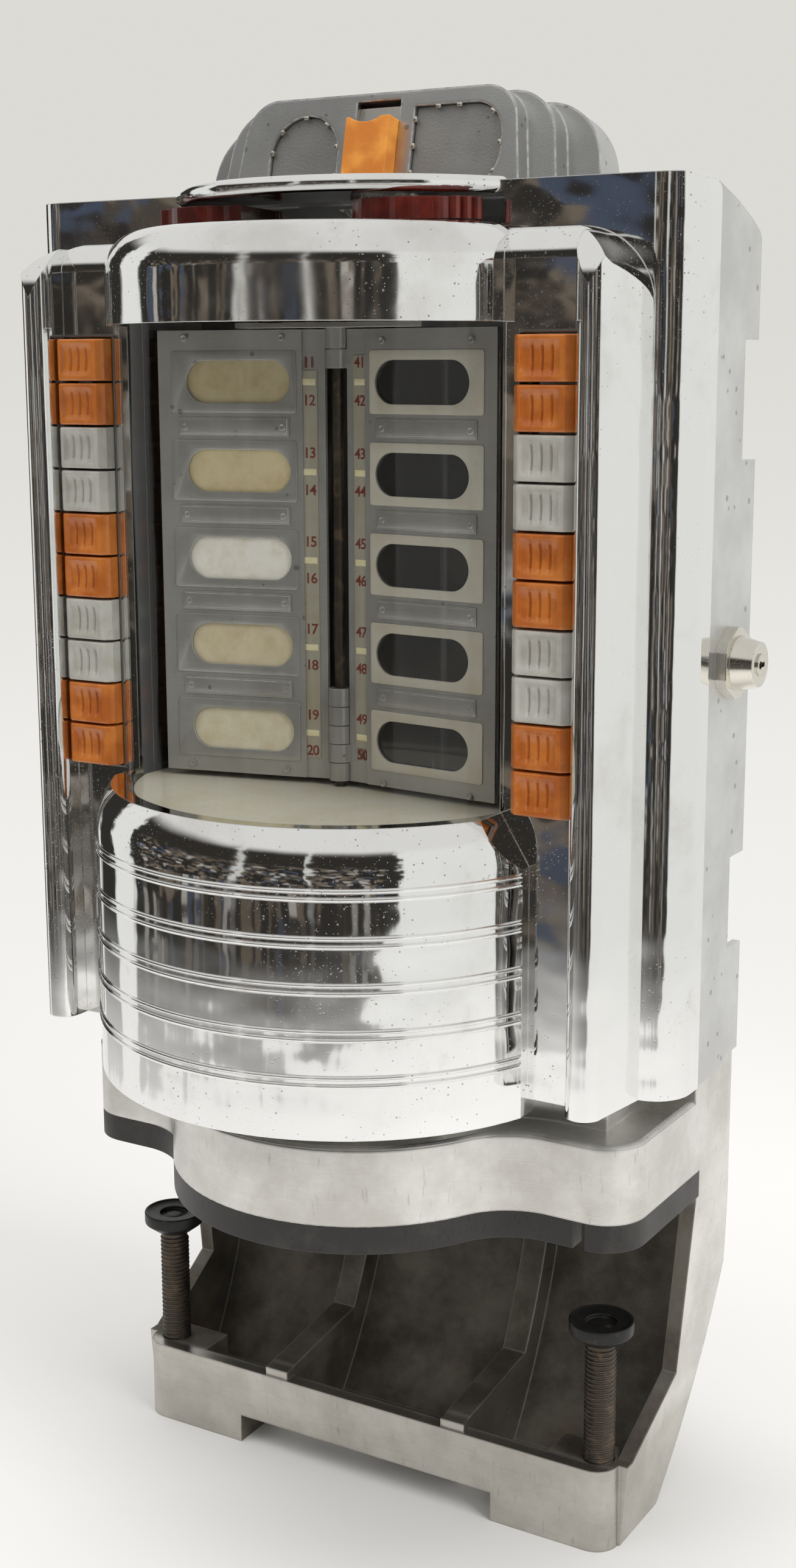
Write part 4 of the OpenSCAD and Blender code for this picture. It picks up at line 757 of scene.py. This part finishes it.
def make_trim():
    """Bars and screws of one side of a page."""
    bar = make_bar()
    parts = [bar]
    parts += [copy_of(bar, "bar", shift(z=CARD_PITCH * i)) for i in range(1, CARDS - 1)]
    first_z = (window_z(0) + window_z(1)) / 2
    screw = make_page_screw(SCREW_U, first_z)
    parts.append(screw)
    for i in range(CARDS - 1):
        for u in (0, SCREW_STEP):
            if i or u:
                parts.append(copy_of(screw, "page_screw", shift(x=u, z=CARD_PITCH * i)))
    for z in (PAGE_Z0 + END_SCREW, PAGE_Z1 - END_SCREW):
        for u in (0, SCREW_STEP):
            parts.append(copy_of(screw, "page_screw", shift(x=u, z=z - first_z)))
    return merged("page_trim", parts)


def make_strip():
    """Number strip on the web beside the hinge."""
    strip = start_block("number_strip", (STRIP_U0, STRIP_IN, PAGE_Z0 + 8),
                        (STRIP_U1, STRIP_OUT, PAGE_Z1 - 15))
    edit(strip)
    pick("EDGE", lambda m, d: abs(d.z) > 0.9 and m.y > 0.7)
    bevel(0.2, 2)
    done()
    return strip


def make_marks():
    """Cream mark on the strip beside each window."""
    z = window_z(0)
    first = start_block("mark", (MARK_U0, MARK_IN, z - MARK_HALF_H), (MARK_U1, MARK_OUT, z + MARK_HALF_H))
    edit(first)
    pick("FACE", lambda m, n: n.y > 0.9)
    bpy.ops.mesh.inset(thickness=0.15 * MM)
    slide(y=0.05)
    done()
    rest = [copy_of(first, "mark", shift(z=CARD_PITCH * i)) for i in range(1, CARDS)]
    return merged("marks", [first] + rest)


def make_numbers(angle, face, first):
    """Plain running numbers above and below each mark, raised a little like thick paint."""
    turn = math.radians(angle)
    along = Vector((math.cos(turn), math.sin(turn), 0))
    out = Vector((-math.sin(turn), math.cos(turn), 0)) * face
    right = Vector((0, 0, 1)).cross(out)
    parts = []
    for i in range(2 * CARDS):
        z = window_z(CARDS - 1 - i // 2) + (NUMBER_RISE if i % 2 == 0 else -NUMBER_RISE)
        bpy.ops.object.select_all(action="DESELECT")
        bpy.ops.object.text_add()
        words = bpy.context.object
        words.data.body = str(first + i)
        words.data.size = NUMBER_SIZE * MM
        words.data.space_character = 0.9
        words.data.align_x = "CENTER"
        words.data.align_y = "CENTER"
        words.data.resolution_u = 3
        words.data.extrude = 0.05 * MM
        words.data.offset = 0.08 * MM
        bpy.ops.object.convert(target="MESH")
        place = Vector((0, SPINDLE_Y, z)) * MM + along * (NUMBER_U * MM) + out * (NUMBER_OUT * MM)
        words = bpy.context.object
        facing = Matrix((right, (0, 0, 1), out)).transposed().to_4x4()
        words.data.transform(Matrix.Translation(place) @ facing)
        parts.append(words)
    return merged("numbers", parts)


trim, plates, strip, marks = make_trim(), make_plates(), make_strip(), make_marks()
numbered = 11
for page, angle in (("left", 191.0), ("right", -7.0)):
    for face, label in ((1, "a"), (-1, "b")):
        move = page_matrix(angle, face)
        body = page + "_page"
        screwed = copy_of(trim, "%s_page_trim_%s" % (page, label), move)
        give(screwed, "page_aluminium", "page_aluminium", body, angle=30)
        frames = "page_aluminium" if page == "left" else "card_edge"
        framing = copy_of(plates, "%s_page_plates_%s" % (page, label), move)
        give(framing, frames, "page_aluminium", body, angle=30)
        give(copy_of(strip, "%s_page_strip_%s" % (page, label), move), "strip_beige", "page_aluminium", body)
        give(copy_of(marks, "%s_page_marks_%s" % (page, label), move), "mark_cream", "page_aluminium", body)
        numbers = make_numbers(angle, face, numbered)
        numbers.name = "%s_page_numbers_%s" % (page, label)
        give(numbers, "number_red", "page_aluminium", body)
        numbered += 10
for piece in (trim, plates, strip, marks):
    bpy.data.objects.remove(piece)


# ---- clamp screws and pads -----------------------------------------------------------------------

SCREW_X, SCREW_Y, SCREW_FOOT = 105.0, -23.0, 6.0
PAD_Z, PAD_H, PAD_R, PAD_RIM, PAD_NECK_R = 95.0, 9.0, 13, 5, 7.85
CORE_R, NOSE_R, NOSE_H = 5.62, 3.45, 5.2
THREAD_PITCH, THREAD_TURNS, THREAD_R, THREAD_START = 1.954, 39, 5.95, 1.0
# rings of the pad's face from its rim inwards: width, then depth
PAD_RINGS = ((0.9, 0.0), (0.5, -0.5), (3.4, -0.35), (1.9, -0.15), (0.3, -1.4), (2.2, 0.1), (0.6, 0.35),
             (1.2, 0.0))


def make_threaded_rod():
    """Rod with one long thread wound round its core, and the nose that turns in the pad."""
    foot, head = SCREW_FOOT, PAD_Z - PAD_H - 0.2
    core = start_rod("core", (SCREW_X, SCREW_Y, (foot + head) / 2), CORE_R, head - foot, 40)
    edit(core)
    pick("FACE", lambda m, n: n.z > 0.9)
    push()
    widen(NOSE_R / CORE_R, NOSE_R / CORE_R, 1, (SCREW_X, SCREW_Y, head))
    push(z=NOSE_H)
    pick("FACE", lambda m, n: n.z < -0.9)
    bpy.ops.mesh.inset(thickness=0.8 * MM)
    done()
    bpy.ops.object.select_all(action="DESELECT")
    start = ((SCREW_X + THREAD_R) * MM, SCREW_Y * MM, (foot + THREAD_START) * MM)
    bpy.ops.mesh.primitive_plane_add(size=MM, location=start, rotation=(math.pi / 2, 0, 0))
    bpy.context.object.scale = (0.8, 1.7, 1.0)
    thread = begin("thread")
    edit(thread)
    pick("EDGE", lambda m, d: m.x > SCREW_X + 6.2)
    widen(1, 1, 0.2, (SCREW_X, SCREW_Y, foot + THREAD_START))
    bpy.ops.mesh.select_all(action="SELECT")
    bpy.ops.mesh.delete(type="ONLY_FACE")
    done()
    scene.cursor.location = (SCREW_X * MM, SCREW_Y * MM, 0)
    bpy.ops.object.origin_set(type="ORIGIN_CURSOR")
    refine(thread, "SCREW", axis="Z", angle=math.radians(360), screw_offset=THREAD_PITCH * MM,
           iterations=THREAD_TURNS, steps=20, render_steps=20, use_smooth_shade=False)
    bpy.ops.object.transform_apply(location=True, rotation=True, scale=True)
    scene.cursor.location = (0, 0, 0)
    edit(thread)
    bpy.ops.mesh.select_all(action="SELECT")
    bpy.ops.mesh.remove_doubles(threshold=0.000002)
    bpy.ops.mesh.fill_holes(sides=4)
    bpy.ops.mesh.select_all(action="SELECT")
    bpy.ops.mesh.normals_make_consistent(inside=False)
    done()
    return merged("threaded_rod", [core, thread])


def make_pad():
    """Swivel pad: tapered underside, worn rim, dished face with a hollow in its middle."""
    middle = (SCREW_X, SCREW_Y)
    pad = start_rod("pad", (*middle, PAD_Z - PAD_RIM / 2), PAD_R, PAD_RIM, 64)
    edit(pad)
    pick("FACE", lambda m, n: n.z < -0.9)
    push(z=PAD_RIM - PAD_H)
    widen(PAD_NECK_R / PAD_R, PAD_NECK_R / PAD_R, 1, (*middle, PAD_Z - PAD_H))
    pick("FACE", lambda m, n: n.z > 0.9)
    for width, drop in PAD_RINGS:
        bpy.ops.mesh.inset(thickness=width * MM)
        slide(z=drop)
    pick("EDGE", lambda m, d: abs(math.hypot(m.x - SCREW_X, m.y - SCREW_Y) - PAD_R) < 0.1 and abs(d.z) < 0.1)
    bevel(0.5, 3)
    done()
    return pad


rod, pad = make_threaded_rod(), make_pad()
for side, label in ((-1, "left"), (1, "right")):
    move = shift(x=SCREW_X * (side - 1))
    name = "clamp_screw_" + label
    give(copy_of(rod, "threaded_rod_" + label, move), "steel_dark", "steel_dark", name, name, angle=30)
    name = "clamp_pad_" + label
    give(copy_of(pad, "swivel_pad_" + label, move), "pad_black", "pad_black", name, name, angle=40)
for piece in (rod, pad):
    bpy.data.objects.remove(piece)


# ---- coin head: punched-over edges that hold the two plates --------------------------------------

HEAD_FRONT, DECK_Z, HEAD_LEAN = -22.0, 527.8, -12.0
PLATE_FOOT = DECK_Z - 1
ARCH_X, ARCH_R, ARCH_Z = -32, 15.5, DECK_Z - 1 + 32 - 15.5
BOW_X, BOW_R, BOW_Z = 41, 12.4, PLATE_FOOT + 20


def head_place():
    """From the upright head to the leaning one."""
    foot = Vector((0, HEAD_FRONT, DECK_Z)) * MM
    lean = Matrix.Rotation(math.radians(HEAD_LEAN), 4, "X")
    return Matrix.Translation(foot) @ lean @ Matrix.Translation(-foot)


def round_arc(x, z, radius, turn):
    """A place on a circle at the given turn in degrees, and that turn."""
    return x + radius * math.cos(math.radians(turn)), z + radius * math.sin(math.radians(turn)), turn


def make_stakes():
    """Small bright beads of metal pressed in over the plates' edges."""
    bead = start_block("bead", (-0.75, HEAD_FRONT - 0.1, -1.1), (0.75, HEAD_FRONT + 2.0, 1.1))
    edit(bead)
    pick("FACE", lambda m, n: n.y < -0.9)
    bpy.ops.mesh.inset(thickness=0.35 * MM)
    slide(y=-0.25)
    pick("EDGE", lambda m, d: abs(d.y) > 0.9)
    bevel(0.5, 3)
    done()
    refine(bead, "BEVEL", width=0.18 * MM, segments=2, limit_method="ANGLE", angle_limit=math.radians(25))
    # along the arch of the left plate and down its sides: across, up, and the turn of the bead in degrees
    places = [round_arc(ARCH_X, ARCH_Z, ARCH_R - 0.6, turn) for turn in (12, 52, 92, 138, 172)]
    places += [(-46.9, ARCH_Z - 11, 180), (-17.1, ARCH_Z - 8, 0)]
    # up the straight side of the right plate, along its top and round its bow
    places += [(16.6, PLATE_FOOT + z, 0) for z in (8, 18, 28)]
    places += [(x, PLATE_FOOT + 32.4, 90) for x in (26, 35)]
    places += [round_arc(BOW_X, BOW_Z, BOW_R, 48)]
    places += [(53.4, PLATE_FOOT + 17.5, 0), (51.6, PLATE_FOOT + 7, -30)]
    beads = []
    for x, z, turn in places:
        move = shift(x=x, z=z) @ Matrix.Rotation(math.radians(-turn), 4, "Y")
        beads.append(copy_of(bead, "bead", move))
    bpy.data.objects.remove(bead)
    stakes = merged("plate_stakes", beads)
    stakes.data.transform(head_place())
    return stakes


give(make_stakes(), "lock_nickel", "head_satin", "housing", angle=40)


# ---- room: world, lamps, floor -------------------------------------------------------------------

def make_world():
    world = bpy.data.worlds.new("studio")
    scene.world = world
    world.use_nodes = True
    tree = world.node_tree
    tree.nodes.clear()
    way = put(tree, "ShaderNodeTexCoord").outputs["Generated"]
    x, y, z = axes_of(tree, way)
    # what the metal sees, by compass angle from straight ahead towards the right: white sweep behind, dark
    # room with crowded shelves in front, a white screen at the right, a window at the left, pale floor and
    # ceiling
    wobble = put(tree, "ShaderNodeTexNoise", {"Vector": way, "Scale": 2.2, "Detail": 2.0}).outputs[0]
    turn = number(tree, "ARCTAN2", x, number(tree, "MULTIPLY", y, -1.0))
    ragged = put(tree, "ShaderNodeTexNoise", {"Vector": way, "Scale": 16.0, "Detail": 4.0}).outputs[0]
    bent = number(tree, "ADD", turn, number(tree, "MULTIPLY", number(tree, "SUBTRACT", wobble, 0.5), 0.22))
    bent = number(tree, "ADD", bent, number(tree, "MULTIPLY", number(tree, "SUBTRACT", ragged, 0.5), 0.14))

    def band(low, high, soft=1.2):
        """Share of a band between two compass angles, in degrees, with soft ends."""
        low, high, soft = (math.radians(angle) for angle in (low, high, soft))
        near, far = spread(tree, bent, low - soft, low + soft), spread(tree, bent, high + soft, high - soft)
        return number(tree, "MULTIPLY", near, far)

    across, up = number(tree, "MULTIPLY", turn, 13.0), number(tree, "MULTIPLY", z, 21.0)
    shelf = put(tree, "ShaderNodeCombineXYZ", {0: across, 1: up}).outputs[0]
    goods = put(tree, "ShaderNodeTexVoronoi", {"Vector": shelf, "Scale": 1.6}, distance="CHEBYCHEV")
    dice = put(tree, "ShaderNodeSeparateColor", {"Color": goods.outputs["Color"]}).outputs
    clutter = mixed(tree, spread(tree, dice[0], 0.62, 0.72), rgb(0.025, 0.023, 0.02), rgb(0.16, 0.13, 0.1))
    clutter = mixed(tree, spread(tree, dice[1], 0.86, 0.9), clutter, rgb(0.42, 0.4, 0.37))
    clutter = mixed(tree, spread(tree, dice[2], 0.9, 0.93), clutter, rgb(0.06, 0.075, 0.11))
    crowd = number(tree, "MULTIPLY", spread(tree, z, -0.34, -0.2), spread(tree, z, 0.22, 0.1))
    room = mixed(tree, crowd, rgb(0.03, 0.027, 0.023), clutter)
    seen = mixed(tree, band(-118, 56), rgb(0.76, 0.755, 0.74), rgb(0.03, 0.028, 0.025))
    seen = mixed(tree, band(-72, 47), seen, room)
    # the screen reaches further in towards its foot
    screen = number(tree, "ADD", bent, number(tree, "MULTIPLY", spread(tree, z, -0.25, -0.35), 0.45))
    screen = spread(tree, screen, math.radians(54), math.radians(55.5))
    seen = mixed(tree, number(tree, "MAXIMUM", screen, band(-98, -79)), seen, rgb(0.8, 0.8, 0.78))
    # two narrow upright lights between the shelves
    slits = number(tree, "MAXIMUM", band(-21, -18, 0.5), band(13, 15, 0.5))
    slits = number(tree, "MULTIPLY", slits, spread(tree, z, -0.3, -0.15))
    seen = mixed(tree, slits, seen, rgb(0.6, 0.6, 0.58))
    low = number(tree, "ADD", z, number(tree, "MULTIPLY", number(tree, "SUBTRACT", ragged, 0.5), 0.06))
    low = spread(tree, low, -0.327, -0.336)
    high = spread(tree, z, 0.38, 0.55)
    seen = mixed(tree, number(tree, "MAXIMUM", low, high), seen, rgb(0.74, 0.735, 0.72))
    backdrop = mixed(tree, spread(tree, z, -0.3, 0.05), rgb(0.9, 0.885, 0.86), rgb(0.72, 0.705, 0.665))
    rays = put(tree, "ShaderNodeLightPath").outputs
    clear = number(tree, "MAXIMUM", rays["Is Camera Ray"], rays["Is Transmission Ray"])
    light = mixed(tree, rays["Is Glossy Ray"], rgb(0.5, 0.5, 0.5), seen)
    light = mixed(tree, clear, light, backdrop)
    background = put(tree, "ShaderNodeBackground", {"Color": light}).outputs[0]
    put(tree, "ShaderNodeOutputWorld", {"Surface": background})


def lamp(name, place, aim, width, height, power):
    data = bpy.data.lights.new(name, "AREA")
    data.shape = "RECTANGLE"
    data.size = width
    data.size_y = height
    data.energy = power
    light = bpy.data.objects.new(name, data)
    scene.collection.objects.link(light)
    turn = (Vector(aim) - Vector(place)).to_track_quat("-Z", "Y")
    light.matrix_world = Matrix.Translation(place) @ turn.to_matrix().to_4x4()
    light.visible_glossy = False


def make_floor():
    bpy.ops.object.select_all(action="DESELECT")
    bpy.ops.mesh.primitive_circle_add(vertices=96, radius=2.5, fill_type="NGON")
    floor = bpy.context.object
    floor.name = "floor"
    finish, tree = new_finish("floor")
    x, y = place_of(tree)[:2]
    squares = number(tree, "ADD", number(tree, "MULTIPLY", x, x), number(tree, "MULTIPLY", y, y))
    reach = number(tree, "SQRT", squares)
    matt = put(tree, "ShaderNodeBsdfDiffuse", {"Color": rgb(0.9, 0.885, 0.86)}).outputs[0]
    nothing = put(tree, "ShaderNodeBsdfTransparent").outputs[0]
    fade = put(tree, "ShaderNodeMixShader", {0: spread(tree, reach, 0.35, 1.1), 1: matt, 2: nothing})
    put(tree, "ShaderNodeOutputMaterial", {"Surface": fade.outputs[0]})
    floor.data.materials.append(finish)


MIDDLE = (0, 0, 0.3)

make_world()
lamp("key", (1.9, -0.55, 1.5), MIDDLE, 1.1, 1.1, 30)
lamp("top", (-0.3, -0.2, 2.3), MIDDLE, 1.6, 1.6, 24)
lamp("fill", (-1.5, -1.4, 0.9), MIDDLE, 1.0, 1.4, 5)
make_floor()
